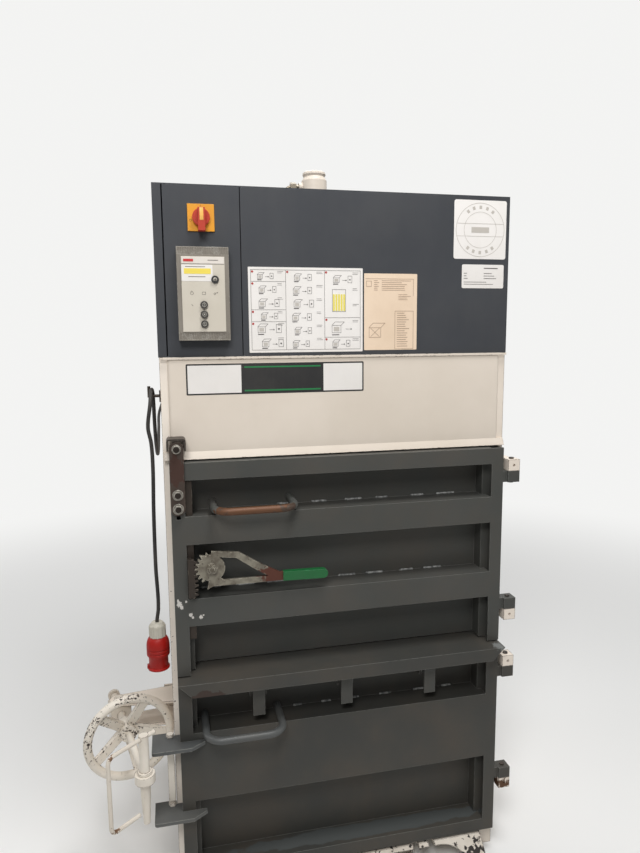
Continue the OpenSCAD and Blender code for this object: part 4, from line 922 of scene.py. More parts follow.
PAPER = Paint("paper_white", srgb(232, 228, 224), srgb(224, 220, 215), dust=srgb(196, 188, 178), dirt=0.18,
              chips=0.0, edge=0.0, rough=0.5, bump=0.02, rounding=0.0004)
INK = Paint("ink_grey", srgb(96, 92, 90), srgb(112, 106, 102), **INK_SKIN)
PALE = Paint("ink_pale", srgb(184, 178, 170), srgb(194, 188, 180), **INK_SKIN)
NIGHT = replace(INK, name="field_black", base=srgb(24, 24, 25), tone=srgb(30, 30, 31),
                under=srgb(150, 148, 144), chips=0.04)


@dataclass
class InstructionSheet:
    """White sheet with lined panels, small line figures and a few fields of colour."""

    front: float
    area: Area = Area(-0.252, 0.058, 1.567, 1.789)
    corner: float = 0.002
    edge: float = 0.0065
    line: float = 0.0009
    seed: int = 7
    columns: tuple[float, ...] = (-0.153, -0.048)
    rows: tuple[tuple[float, ...], ...] = ((1.752, 1.679, 1.648), (), (1.658, 1.606))
    number_place: Spot = (0.0045, 0.0055)
    number_radius: float = 0.003
    cell: float = 0.038
    figure_size: float = 0.024
    figure_margin: float = 0.016
    figure_shift: float = 0.012
    figure_room: float = 0.03
    caption_width: float = 0.0022
    words_place: Spot = (0.022, 0.004)
    words_pitch: float = 0.004
    yellow_frame: Area = Area(-0.027, 0.0105, 1.674, 1.733)
    yellow_count: int = 5
    yellow_start: float = -0.0225
    yellow_pitch: float = 0.0072
    yellow_heights: Spot = (1.676, 1.720)
    yellow_width: float = 0.0052

    def inks(self) -> dict[str, Paint]:
        """Chooses the colours of the filled shapes.

        Returns:
            Short name to finish.
        """
        return {
            "dark": Paint("ink_dark", srgb(58, 54, 54), srgb(70, 66, 64), **INK_SKIN),
            "red": Paint("ink_red", srgb(176, 70, 64), srgb(160, 60, 56), **INK_SKIN),
            "yellow": Paint("ink_yellow", srgb(226, 212, 96), srgb(216, 200, 84), **INK_SKIN),
            "pale": PALE,
        }

    def arrow(self, pen: Printer, start: Spot, end: Spot) -> Shapes:
        """A line with a dark head."""
        return [pen.bar(start, end, self.line), pen.dot(end, self.line * 3, 3)]

    def figure(self, pen: Printer, place: Spot, size: float, limit: float,
               shapes: dict[str, Shapes]) -> None:
        """Draws a box, an arrow and a second box where there is room.

        Args:
            pen: Printer of the sheet.
            place: Left edge and foot of the first box.
            size: Width of the first box, of which the other lengths are shares.
            limit: Right edge of the panel.
            shapes: Takes the lines and the filled shapes.
        """
        x, z = place
        level, foot = z + size * 0.4, z - size * 0.2
        shapes["lines"] += pen.crate(x, z, size, self.line)
        shapes["pale"].append(pen.bar((x + size * 0.2, level), (x + size * 0.8, level), size * 0.45))
        shapes["lines"] += self.arrow(pen, (x + size * 1.5, level), (x + size * 2.1, level))
        right = x + size * 2.4
        if right + size < limit:
            shapes["lines"] += pen.frame(Area(right, right + size * 0.7, z, z + size * 1.1), self.line)
            shapes["dark"].append(pen.dot((right + size * 0.35, z + size * 0.5), size * 0.12))
        shapes["dark"].append(pen.bar((x, foot), (x + size * 0.8, foot), self.caption_width))

    def panel(self, pen: Printer, panel: Area, chance: random.Random, shapes: dict[str, Shapes]) -> None:
        """Fills one panel with its number, figures and short bars, cell by cell.

        Args:
            pen: Printer of the sheet.
            panel: The panel.
            chance: Seeded chance.
            shapes: Takes the lines and the filled shapes.
        """
        number = (panel.left + self.number_place[0], panel.high - self.number_place[1])
        shapes["red"].append(pen.dot(number, self.number_radius))
        count = max(1, round((panel.high - panel.low) / self.cell))
        tall = (panel.high - panel.low) / count
        for row in range(count):
            foot = panel.low + row * tall
            size = min(tall * 0.5, self.figure_size) * chance.uniform(0.8, 1.1)
            x = panel.left + self.figure_margin + chance.uniform(0, self.figure_shift)
            cell = Area(panel.left, panel.right, foot, foot + tall)
            if x + size < panel.right - self.figure_room and not cell.meets(self.yellow_frame):
                self.figure(pen, (x, foot + tall * 0.22), size, panel.right, shapes)
            start, end = (panel.right - inset for inset in self.words_place)
            words = Bars(start, end, foot + tall * 0.86, 2, self.words_pitch)
            shapes["lines"] += pen.text(words, chance)

    def build(self, shop: Workshop) -> None:
        """Makes the sheet and prints it.

        Args:
            shop: Workshop.
        """
        pen = Printer(self.front)
        shop.fit(pen.sheet("instruction_sheet", self.area, self.corner), PAPER)
        pen = pen.on_top()
        chance = random.Random(self.seed)
        inner = self.area.less(self.edge)
        inks = self.inks()
        shapes: dict[str, Shapes] = {"lines": pen.frame(inner, self.line), **{key: [] for key in inks}}
        shapes["lines"] += [pen.bar((x, inner.low), (x, inner.high), self.line) for x in self.columns]
        edges = (inner.left, *self.columns, inner.right)
        for left, right, rows in zip(edges, edges[1:], self.rows):
            shapes["lines"] += [pen.bar((left, z), (right, z), self.line) for z in rows]
            for high, low in zip((inner.high, *rows), (*rows, inner.low)):
                self.panel(pen, Area(left, right, low, high), chance, shapes)
        foot, head = self.yellow_heights
        for number in range(self.yellow_count):
            x = self.yellow_start + number * self.yellow_pitch
            shapes["yellow"].append(pen.bar((x, foot), (x, head), self.yellow_width))
        shapes["lines"] += pen.frame(self.yellow_frame, self.line)
        shop.fit(joined(shapes["lines"], "instruction_lines"), INK)
        for key, ink in inks.items():
            shop.fit(joined(shapes[key], f"instruction_{key}"), ink)


@dataclass
class AgedSheet:
    """Yellowed sheet with faint brown lines."""

    front: float
    area: Area = Area(0.062, 0.214, 1.570, 1.776)
    corner: float = 0.002
    line: float = 0.0009
    seed: int = 8
    lines: tuple[tuple[Spot, Spot], ...] = (
        ((0.066, 1.762), (0.203, 1.762)), ((0.203, 1.762), (0.203, 1.716)),
        ((0.080, 1.606), (0.106, 1.630)), ((0.106, 1.606), (0.080, 1.630)))
    frames: tuple[Area, ...] = (Area(0.068, 0.083, 1.741, 1.756), Area(0.150, 0.204, 1.572, 1.676))
    words: tuple[Bars, ...] = (
        Bars(0.090, 0.105, 1.757, 6, 0.005), Bars(0.112, 0.196, 1.757, 6, 0.005),
        Bars(0.160, 0.198, 1.720, 4, 0.0045), Bars(0.156, 0.192, 1.670, 16, 0.006))
    crate_place: Spot = (0.076, 1.604)
    crate_size: float = 0.034

    def build(self, shop: Workshop) -> None:
        """Makes the sheet and prints it.

        Args:
            shop: Workshop.
        """
        paper = Paint("paper_aged", srgb(234, 212, 188), srgb(224, 200, 174), dust=srgb(200, 176, 148),
                      dirt=0.3, chips=0.03, under=srgb(240, 228, 212), edge=0.0, rough=0.5, bump=0.02,
                      rounding=0.0004)
        brown = Paint("ink_brown", srgb(140, 112, 92), srgb(156, 130, 108), **INK_SKIN)
        pen = Printer(self.front)
        shop.fit(pen.sheet("aged_sheet", self.area, self.corner), paper)
        pen = pen.on_top()
        chance = random.Random(self.seed)
        shapes = [pen.bar(start, end, self.line) for start, end in self.lines]
        for area in self.frames:
            shapes += pen.frame(area, self.line)
        for words in self.words:
            shapes += pen.text(words, chance)
        shapes += pen.crate(*self.crate_place, self.crate_size, self.line)
        shop.fit(joined(shapes, "aged_lines"), brown)


@dataclass
class SideSheets:
    """Square sheet with plain rings, and a small plate with plain bars below it."""

    front: float
    square: Area = Area(0.320, 0.477, 1.819, 1.978)
    square_corner: float = 0.006
    centre: Spot = (0.3985, 1.898)
    rings: tuple[Spot, ...] = ((0.073, 0.0012), (0.049, 0.0010))
    chords: Area = Area(0.329, 0.468, 1.881, 1.915)
    chord_width: float = 0.001
    bar_ends: Spot = (0.372, 0.425)
    bar_width: float = 0.015
    tick_turns: tuple[int, ...] = (53, 71, 90, 109, 127)
    tick_reach: Spot = (0.0565, 0.0655)
    tick_width: float = 0.0075
    plate: Area = Area(0.346, 0.473, 1.739, 1.804)
    plate_corner: float = 0.004
    seed: int = 9
    words: tuple[Bars, ...] = (
        Bars(0.412, 0.466, 1.794, 1, 0.012), Bars(0.352, 0.364, 1.780, 3, 0.007),
        Bars(0.412, 0.452, 1.780, 3, 0.007), Bars(0.352, 0.46, 1.756, 2, 0.006))

    def square_print(self, pen: Printer) -> Shapes:
        """Draws the rings, two chords, a bar and ticks at both sides.

        Args:
            pen: Printer of the print.

        Returns:
            The shapes.
        """
        x, z = self.centre
        shapes = [pen.ring(self.centre, radius, width) for radius, width in self.rings]
        for height in (self.chords.high, self.chords.low):
            shapes.append(pen.bar((self.chords.left, height), (self.chords.right, height), self.chord_width))
        left, right = self.bar_ends
        shapes.append(pen.bar((left, z), (right, z), self.bar_width))
        for side in (-1, 1):
            for turn in map(math.radians, self.tick_turns):
                near, far = ((x + reach * math.cos(turn), z + side * reach * math.sin(turn))
                             for reach in self.tick_reach)
                shapes.append(pen.bar(near, far, self.tick_width))
        return shapes

    def build(self, shop: Workshop) -> None:
        """Makes the sheet and the plate and prints them.

        Args:
            shop: Workshop.
        """
        pen = Printer(self.front)
        shop.fit(pen.sheet("square_sheet", self.square, self.square_corner), PAPER)
        shop.fit(pen.sheet("small_plate", self.plate, self.plate_corner), PAPER)
        pen = pen.on_top()
        shop.fit(joined(self.square_print(pen), "square_rings"), PALE)
        chance = random.Random(self.seed)
        bars = [shape for words in self.words for shape in pen.text(words, chance)]
        shop.fit(joined(bars, "small_bars"), INK)


@dataclass
class Hood:
    """Dark hood in two covers, with the power pack under it and sheets on its front."""

    front: float = -0.352

    def under_finishes(self) -> dict[str, Paint]:
        """Chooses the finishes of what stands under the hood.

        Returns:
            Node to finish.
        """
        return {
            "switch_box": Paint("switch_box_plastic", srgb(58, 61, 66), srgb(64, 67, 72), dirt=0.2,
                                chips=0.03, edge=0.1, rough=0.45),
            "oil_tank": Paint("tank_paint", srgb(88, 92, 98), srgb(80, 84, 90), dirt=0.3, chips=0.05,
                              edge=0.2, rough=0.4),
            "motor": Paint("motor_paint", srgb(62, 82, 112), srgb(56, 74, 102), dirt=0.3, chips=0.05,
                           edge=0.2, bump=0.25),
            "valve_block": Paint("machined_alloy", srgb(176, 177, 178), srgb(164, 165, 166), dirt=0.2,
                                 chips=0.02, edge=0.1, rough=0.3, metal=0.9),
            "pressure_pipe": Paint("pipe_steel", srgb(150, 142, 128), srgb(122, 108, 92),
                                   under=srgb(70, 52, 40), bare=srgb(176, 166, 150), dirt=0.3, chips=0.35,
                                   edge=0.3, rough=0.34, metal=0.7, bump=0.15),
            "return_hose": Paint("hose_rubber", srgb(24, 24, 25), srgb(34, 33, 32), dirt=0.5, chips=0.0,
                                 edge=0.0, rough=0.55),
        }

    def build(self, shop: Workshop) -> None:
        """Dresses the hood and what is under it, and sets the sheets on it.

        Args:
            shop: Workshop.
        """
        shop.coat(HOOD, "hood_shell", "control_cover", "front_cover", "deck_plate")
        for node, paint in self.under_finishes().items():
            shop.coat(paint, node)
        for kind in (InstructionSheet, AgedSheet, SideSheets):
            kind(self.front).build(shop)


def front_of(node: str) -> Point:
    """Finds the middle of a node's front.

    Args:
        node: Name of the node.

    Returns:
        X of its middle, Y of its front and Z of its middle.
    """
    low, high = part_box(node)
    return (low[0] + high[0]) / 2, low[1], (low[2] + high[2]) / 2


@dataclass
class Controls:
    """Keypad in its cast housing, and the main switch on its yellow plate."""

    header: float = 0.018
    inset: float = 0.001
    stroke: float = 0.0009
    columns: Point = (-0.3975, -0.3675, -0.338)
    icons_z: float = 1.7187
    tick_z: Spot = (1.6915, 1.6865)
    header_mark: Spot = (-0.356, -0.330)
    header_mark_rise: float = 0.009
    red_field: Spot = (-0.4165, -0.392)
    red_rise: Spot = (0.005, 0.0115)
    sheet_corner: float = 0.001
    field_corner: float = 0.0006
    sticker: Area = Area(-0.4215, -0.3445, 1.7485, 1.789)
    sticker_band: Area = Area(-0.4155, -0.349, 1.7665, 1.780)
    sticker_words: tuple[Bars, ...] = (
        Bars(-0.412, -0.354, 1.7842, 1, 0.006), Bars(-0.405, -0.358, 1.7595, 1, 0.007))
    seed: int = 5
    mark_thick: float = 0.0002
    ring_radius: float = 0.0052
    barrel_radius: float = 0.0048
    barrel_depth: float = 0.0012
    key_slot: float = 0.0028
    inlay_half: float = 0.0048
    inlay_foot: float = 0.004
    inlay_margin: float = 0.003
    off_mark: float = 0.0258
    on_mark: Spot = (0.0062, 0.0018)

    def icons(self, pen: Printer) -> Shapes:
        """Draws a small line mark over each of the three columns and a tick under the first.

        Args:
            pen: Printer of the foil.

        Returns:
            The marks.
        """
        left, middle, right = self.columns
        z, wide = self.icons_z, self.stroke
        return [
            pen.ring((left, z), 0.0042, 0.0007),
            pen.bar((left, z + 0.002), (left, z + 0.0065), wide),
            *pen.frame(Area(middle - 0.0045, middle + 0.0045, z - 0.0034, z + 0.0034), 0.0008),
            pen.ring((right - 0.0025, z - 0.001), 0.0026, 0.0007),
            pen.bar((right - 0.0005, z), (right + 0.0055, z + 0.0028), wide),
            pen.bar((right + 0.004, z + 0.002), (right + 0.0052, z - 0.0004), wide),
            pen.bar((left - 0.0016, self.tick_z[0]), (left + 0.0022, self.tick_z[1]), wide),
        ]

    def keypad(self, shop: Workshop) -> None:
        """Dresses the foil and adds its header strip and marks.

        Args:
            shop: Workshop.
        """
        low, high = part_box("control_panel")
        pen = Printer(low[1])
        top = pen.on_top()
        foil = Paint("keypad_foil", srgb(206, 199, 186), srgb(199, 192, 178), dust=srgb(176, 164, 146),
                     dirt=0.3, chips=0.0, edge=0.0, rough=0.38, bump=0.03)
        strip = replace(foil, name="foil_header", base=srgb(222, 215, 207), tone=srgb(216, 209, 200))
        dark = Paint("keypad_mark", srgb(74, 68, 62), srgb(84, 78, 70), **INK_SKIN)
        red = Paint("keypad_red", srgb(196, 44, 46), srgb(184, 40, 42), **INK_SKIN)
        shop.coat(foil, "control_panel")
        foot = high[2] - self.header
        head = Area(low[0] + self.inset, high[0] - self.inset, foot, high[2] - self.inset)
        shop.fit(pen.sheet("foil_header", head, self.sheet_corner), strip)
        under, mark = foot - 0.0006, foot + self.header_mark_rise
        marks = [pen.bar((head.left, under), (head.right, under), 0.0008),
                 top.bar((self.header_mark[0], mark), (self.header_mark[1], mark), 0.0014)]
        shop.fit(joined(marks + self.icons(pen), "keypad_marks"), dark)
        field_area = Area(*self.red_field, foot + self.red_rise[0], foot + self.red_rise[1])
        shop.fit(top.sheet("keypad_red_field", field_area, self.field_corner), red)

    def keypad_sticker(self, shop: Workshop) -> None:
        """Sets the sticker on the foil, with its yellow band and plain bars.

        Args:
            shop: Workshop.
        """
        pen = Printer(front_of("control_panel")[1])
        top = pen.on_top()
        sun = Paint("sticker_yellow", srgb(236, 214, 92), srgb(228, 206, 84), **INK_SKIN)
        shop.fit(pen.sheet("keypad_sticker", self.sticker, self.sheet_corner), PAPER)
        shop.fit(top.sheet("sticker_band", self.sticker_band, self.field_corner), sun)
        chance = random.Random(self.seed)
        bars = [shape for words in self.sticker_words for shape in top.text(words, chance)]
        shop.fit(joined(bars, "sticker_bars"), INK)

    def button_mark(self, pen: Printer, centre: Spot, body: Body) -> Shapes:
        """Draws a ring with an arrow up or down, or with a dot for stop.

        Args:
            pen: Printer of the button's face.
            centre: Middle of the face.
            body: Body of the button, which says which mark it gets.

        Returns:
            The mark.
        """
        x, z = centre
        ring = pen.ring(centre, self.ring_radius, 0.0008)
        if body is Body.STOP:
            return [ring, pen.dot(centre, 0.0018)]
        way = 1 if body is Body.UP else -1
        return [ring, pen.bar((x, z - way * 0.003), (x, z + way * 0.002), 0.0012),
                pen.dot((x, z + way * 0.0045), 0.0016)]

    def buttons(self, shop: Workshop) -> None:
        """Dresses the dark buttons and gives them pale ring marks.

        Args:
            shop: Workshop.
        """
        cap = Paint("button_cap", srgb(52, 50, 48), srgb(60, 58, 55), dust=srgb(92, 86, 78), dirt=0.3,
                    chips=0.0, edge=0.3, bare=srgb(110, 106, 98), rough=0.4, bump=0.05)
        pale = Paint("button_mark", srgb(186, 182, 172), srgb(176, 172, 162), **INK_SKIN)
        for node, body in (("button_up", Body.UP), ("button_stop", Body.STOP), ("button_down", Body.DOWN)):
            shop.coat(cap, node)
            x, front, z = front_of(node)
            shapes = self.button_mark(Printer(front, self.mark_thick), (x, z), body)
            shop.fit(joined(shapes, f"{node}_mark"), pale, body)

    def key(self, shop: Workshop) -> None:
        """Dresses the key switch and sets its metal barrel with a black bar on it, painted shade that stands
        for the keyhole.

        Args:
            shop: Workshop.
        """
        shop.coat(BLACK, "key_switch")
        x, front, z = front_of("key_switch")
        barrel = disc("key_barrel", (x, front + 0.0004, z), self.barrel_radius, self.barrel_depth, 0.0003)
        shop.fit(barrel, STEEL, Body.KEY)
        # The black bar is painted shade standing for the keyhole in the barrel.
        pen = Printer(front - 0.0002)
        keyhole_shade = pen.bar((x, z - self.key_slot), (x, z + self.key_slot), 0.0012)
        shop.fit(joined([keyhole_shade], "key_slot"), BLACK, Body.KEY)

    def main_switch(self, shop: Workshop) -> None:
        """Dresses the yellow plate and the red knob, and sets the pale inlay in its grip.

        Args:
            shop: Workshop.
        """
        plate = Paint("yellow_plastic", srgb(226, 156, 34), srgb(216, 146, 30), dust=srgb(150, 110, 50),
                      dirt=0.3, chips=0.02, edge=0.1, bare=srgb(150, 104, 28), rough=0.38, bump=0.04)
        knob = Paint("knob_plastic", srgb(186, 54, 30), srgb(172, 46, 26), dust=srgb(120, 56, 40), dirt=0.3,
                     chips=0.02, edge=0.15, bare=srgb(206, 90, 60), rough=0.36, bump=0.05)
        inlay = Paint("knob_inlay", srgb(240, 190, 100), srgb(226, 166, 76), dirt=0.35,
                      dust=srgb(150, 104, 50), dirt_scale=60.0, chips=0.0, edge=0.1,
                      bare=srgb(190, 130, 60), rough=0.4, bump=0.03)
        mark = Paint("plate_mark", srgb(120, 80, 24), srgb(130, 88, 28), **INK_SKIN)
        shop.coat(plate, "switch_plate")
        shop.coat(knob, "main_knob")
        low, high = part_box("main_knob")
        x, front, z = front_of("main_knob")
        shape = block("knob_inlay", (x - self.inlay_half, front - 0.0006, z - self.inlay_foot),
                      (x + self.inlay_half, front + 0.002, high[2] - self.inlay_margin), 0.0008)
        shop.fit(shape, inlay, Body.KNOB)
        low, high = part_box("switch_plate")
        pen = Printer(low[1])
        on_low, on_high = (high[2] - drop for drop in self.on_mark)
        shapes = [pen.ring((x - self.off_mark, z), 0.0032, 0.0008),
                  pen.bar((x, on_low), (x, on_high), 0.001)]
        shop.fit(joined(shapes, "switch_marks"), mark)

    def build(self, shop: Workshop) -> None:
        """Dresses the housing and builds the rest.

        Args:
            shop: Workshop.
        """
        cast = Paint("keypad_housing", srgb(136, 130, 120), srgb(124, 117, 108), under=srgb(90, 84, 76),
                     bare=srgb(168, 164, 156), dust=srgb(104, 97, 88), dirt=0.4, dirt_scale=14.0, chips=0.1,
                     edge=0.3, rough=0.42, metal=0.25, bump=0.14, skin_scale=600.0)
        shop.coat(cast, "control_box")
        self.keypad(shop)
        self.keypad_sticker(shop)
        self.buttons(shop)
        self.key(shop)
        self.main_switch(shop)


@dataclass
class Chamber:
    """White walls, band, floor with its worn lip, and the plate fields on the band."""

    band_front: float = -0.358
    plate: Area = Area(-0.419, 0.059, 1.459, 1.540)
    plate_corner: float = 0.003
    fields: tuple[Area, ...] = (Area(-0.415, -0.276, 1.463, 1.536), Area(-0.054, 0.055, 1.463, 1.536))
    field_corner: float = 0.001
    stripe_ends: Spot = (-0.268, -0.062)
    stripe_heights: Spot = (1.468, 1.530)
    stripe_width: float = 0.004
    specks: tuple[Point, Point] = ((-0.497, -0.36, 0.62), (0.026, 0.05, 0.62))
    lip_wear: tuple[tuple[Point, Point, float], ...] = (
        ((0.40, -0.44, 0.04), (0.16, 0.09, 0.10), 1.0), ((-0.40, -0.44, 0.04), (0.16, 0.09, 0.10), 1.0),
        ((0.12, -0.40, 0.07), (0.34, 0.05, 0.04), 0.55), ((-0.2, -0.40, 0.07), (0.30, 0.05, 0.04), 0.5))

    def lip_paint(self) -> Paint:
        """Mixes the white paint that is chipped to black on the lip and its feet.

        Returns:
            The paint.
        """
        spots = tuple(Worn(centre, size, srgb(44, 39, 36), ragged, 70.0, Wear.SPECKLED)
                      for centre, size, ragged in self.lip_wear)
        return Paint("floor_paint", srgb(218, 210, 198), srgb(202, 192, 178), under=srgb(60, 50, 44),
                     bare=srgb(50, 44, 40), dust=srgb(134, 120, 104), dirt=0.5, chips=0.4, chip_scale=30.0,
                     edge=0.6, edge_width=0.005, edge_scale=60.0, rough=0.5, worn=spots)

    def band_plate(self, shop: Workshop) -> None:
        """Sets the dark plate on the band, with its pale fields and green stripes.

        Args:
            shop: Workshop.
        """
        green = Paint("field_green", srgb(28, 120, 66), srgb(24, 110, 60), **INK_SKIN)
        pen = Printer(self.band_front)
        top = pen.on_top()
        shop.fit(pen.sheet("band_plate", self.plate, self.plate_corner), NIGHT)
        fields = [top.sheet("band_field", area, self.field_corner) for area in self.fields]
        shop.fit(joined(fields, "band_fields"), PAPER)
        left, right = self.stripe_ends
        stripes = [top.bar((left, z), (right, z), self.stripe_width) for z in self.stripe_heights]
        shop.fit(joined(stripes, "band_stripes"), green)

    def build(self, shop: Workshop) -> None:
        """Dresses the walls and the floor and sets the plate on the band.

        Args:
            shop: Workshop.
        """
        specks = Worn(*self.specks, srgb(74, 60, 50), 0.75, 120.0, Wear.SPECKLED)
        # The left wall gets a lighter copy of the wall paint with less dirt: painted light that brightens it
        # against the shade it gets.
        left = replace(WALL, name="left_wall_lit_paint", base=srgb(238, 228, 216), tone=srgb(230, 220, 207),
                       dirt=0.2, worn=(specks,))
        shop.coat(left, "side_wall_left")
        shop.coat(WALL, "side_wall_right", "back_wall")
        shop.coat(BAND, "front_band")
        shop.coat(self.lip_paint(), "base_floor")
        self.band_plate(shop)


@dataclass
class Hinges:
    """White and grey knuckles on their pins."""

    axis: Spot = (0.5, -0.38)
    rust_rise: float = 0.012
    rust_size: Point = (0.03, 0.03, 0.018)

    def build(self, shop: Workshop) -> None:
        """Dresses the lugs, the lowest one worn, and the pins.

        Args:
            shop: Workshop.
        """
        low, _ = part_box("hinge_lugs")
        worn = Worn((*self.axis, low[2] + self.rust_rise), self.rust_size, srgb(88, 62, 44), 0.6, 90.0)
        shop.coat(replace(WALL, name="lug_paint", chips=0.35, chip_scale=60.0, worn=(worn,)), "hinge_lugs")
        shop.coat(DARK, "hinge_pins")


@dataclass
class Welds:
    """Weld beads along the upper edge of a rib: short rippled lumps with bright flecks."""

    ripples: int = 9
    bead: float = 0.009
    overlap: float = 0.6
    y: float = -0.3175
    rise: float = 0.0016
    flat: float = 0.8

    def paint(self) -> Paint:
        """Door paint over a bead with small bright flecks, partly bare weld and partly painted glints."""
        # The pale tone gives the bright flecks: partly bare weld, partly painted glints.
        return Paint("weld_bead", srgb(84, 86, 86), srgb(170, 171, 168), under=srgb(70, 66, 62), dirt=0.1,
                     chips=0.1, edge=0.0, rough=0.36, bump=0.3, skin_scale=500.0, tone_scale=110.0)

    def model(self) -> Thing:
        """Models one bead at the origin from overlapping ripples.

        Returns:
            The bead.
        """
        parts = []
        for number in range(self.ripples):
            deselect()
            x = (number - (self.ripples - 1) / 2) * self.bead * self.overlap
            bpy.ops.mesh.primitive_uv_sphere_add(segments=10, ring_count=6, radius=self.bead / 2,
                                                 location=(x, 0, 0))
            parts.append(settle(bpy.context.active_object, f"ripple_{number}"))
        whole = joined(parts, "bead")
        bpy.ops.object.shade_smooth()
        return whole

    def along(self, shop: Workshop, name: str, body: Body, rows: Sequence[tuple[float, float, float, float]],
              seed: int, long: float = 1.0) -> None:
        """Sets beads along ribs.

        Args:
            shop: Workshop.
            name: Name of the piece.
            body: Body that it rides on.
            rows: Height, start, end and pitch of each row.
            seed: Seed of the lengths and gaps.
            long: How long the beads are against the model.
        """
        chance = random.Random(seed)
        first = self.model()
        beads = []
        for height, start, end, pitch in rows:
            x = start
            while x < end:
                place = (x, self.y, height + self.rise)
                stretch = (long * chance.uniform(0.7, 1.15), self.flat, self.flat)
                beads.append(copied(first, f"{name}_{len(beads)}", place, stretch))
                x += pitch * chance.uniform(0.85, 1.15)
        bpy.data.objects.remove(first)
        shop.fit(joined(beads, name), self.paint(), body)


@dataclass
class FillingDoor:
    """Upper door with its rubbed handle."""

    rib_tops: tuple[float, float] = (1.144, 0.919)
    bead_starts: tuple[float, float] = (-0.16, -0.37)
    bead_end: float = 0.38
    bead_pitches: tuple[float, float] = (0.098, 0.096)
    bead_seed: int = 3
    chip_front: float = -0.391
    chips: tuple[tuple[float, float, float], ...] = (
        (-0.458, 0.908, 0.0055), (-0.452, 0.899, 0.004), (-0.461, 0.918, 0.0025), (-0.440, 0.914, 0.0025),
        (-0.429, 0.876, 0.004), (-0.424, 0.868, 0.0025), (-0.403, 0.867, 0.004), (-0.396, 0.872, 0.002))
    held_shift: float = 0.012
    held_depth: float = 0.012
    brown_size: Point = (0.118, 0.034, 0.04)
    copper_size: Point = (0.092, 0.034, 0.04)

    def paint(self) -> Paint:
        """Mixes the door paint with chips on the free stile.

        Returns:
            The paint.
        """
        white = srgb(196, 192, 186)
        worn = tuple(Worn((x, self.chip_front, z), (size * 1.2, 0.02, size * 1.5), white, 0.6, 220.0)
                     for x, z, size in self.chips)
        return replace(DOOR, name="filling_door_paint", worn=worn)

    def handle_paint(self) -> Paint:
        """Mixes the grey of the handle, rubbed brown and copper where it is held.

        Returns:
            The paint.
        """
        x, front, z = front_of("upper_handle")
        held = (x - self.held_shift, front + self.held_depth, z)
        brown = Worn(held, self.brown_size, srgb(70, 55, 45), 0.3, 30.0)
        copper = Worn(held, self.copper_size, srgb(94, 62, 40), 0.5, 45.0)
        return Paint("rubbed_handle", srgb(92, 95, 92), srgb(84, 84, 80), under=srgb(70, 66, 62),
                     bare=srgb(120, 108, 96), dust=srgb(76, 66, 58), dirt=0.3, chips=0.3, edge=0.1,
                     rough=0.3, metal=0.1, bare_metal=0.15, bump=0.16, gloss=0.4, worn=(brown, copper))

    def build(self, shop: Workshop) -> None:
        """Dresses door and handle and adds the beads.

        Args:
            shop: Workshop.
        """
        shop.coat(self.paint(), "upper_door")
        shop.coat(self.handle_paint(), "upper_handle")
        rows = [(height, start, self.bead_end, pitch)
                for height, start, pitch in zip(self.rib_tops, self.bead_starts, self.bead_pitches)]
        Welds().along(shop, "filling_door_beads", Body.UPPER_DOOR, rows, self.bead_seed)


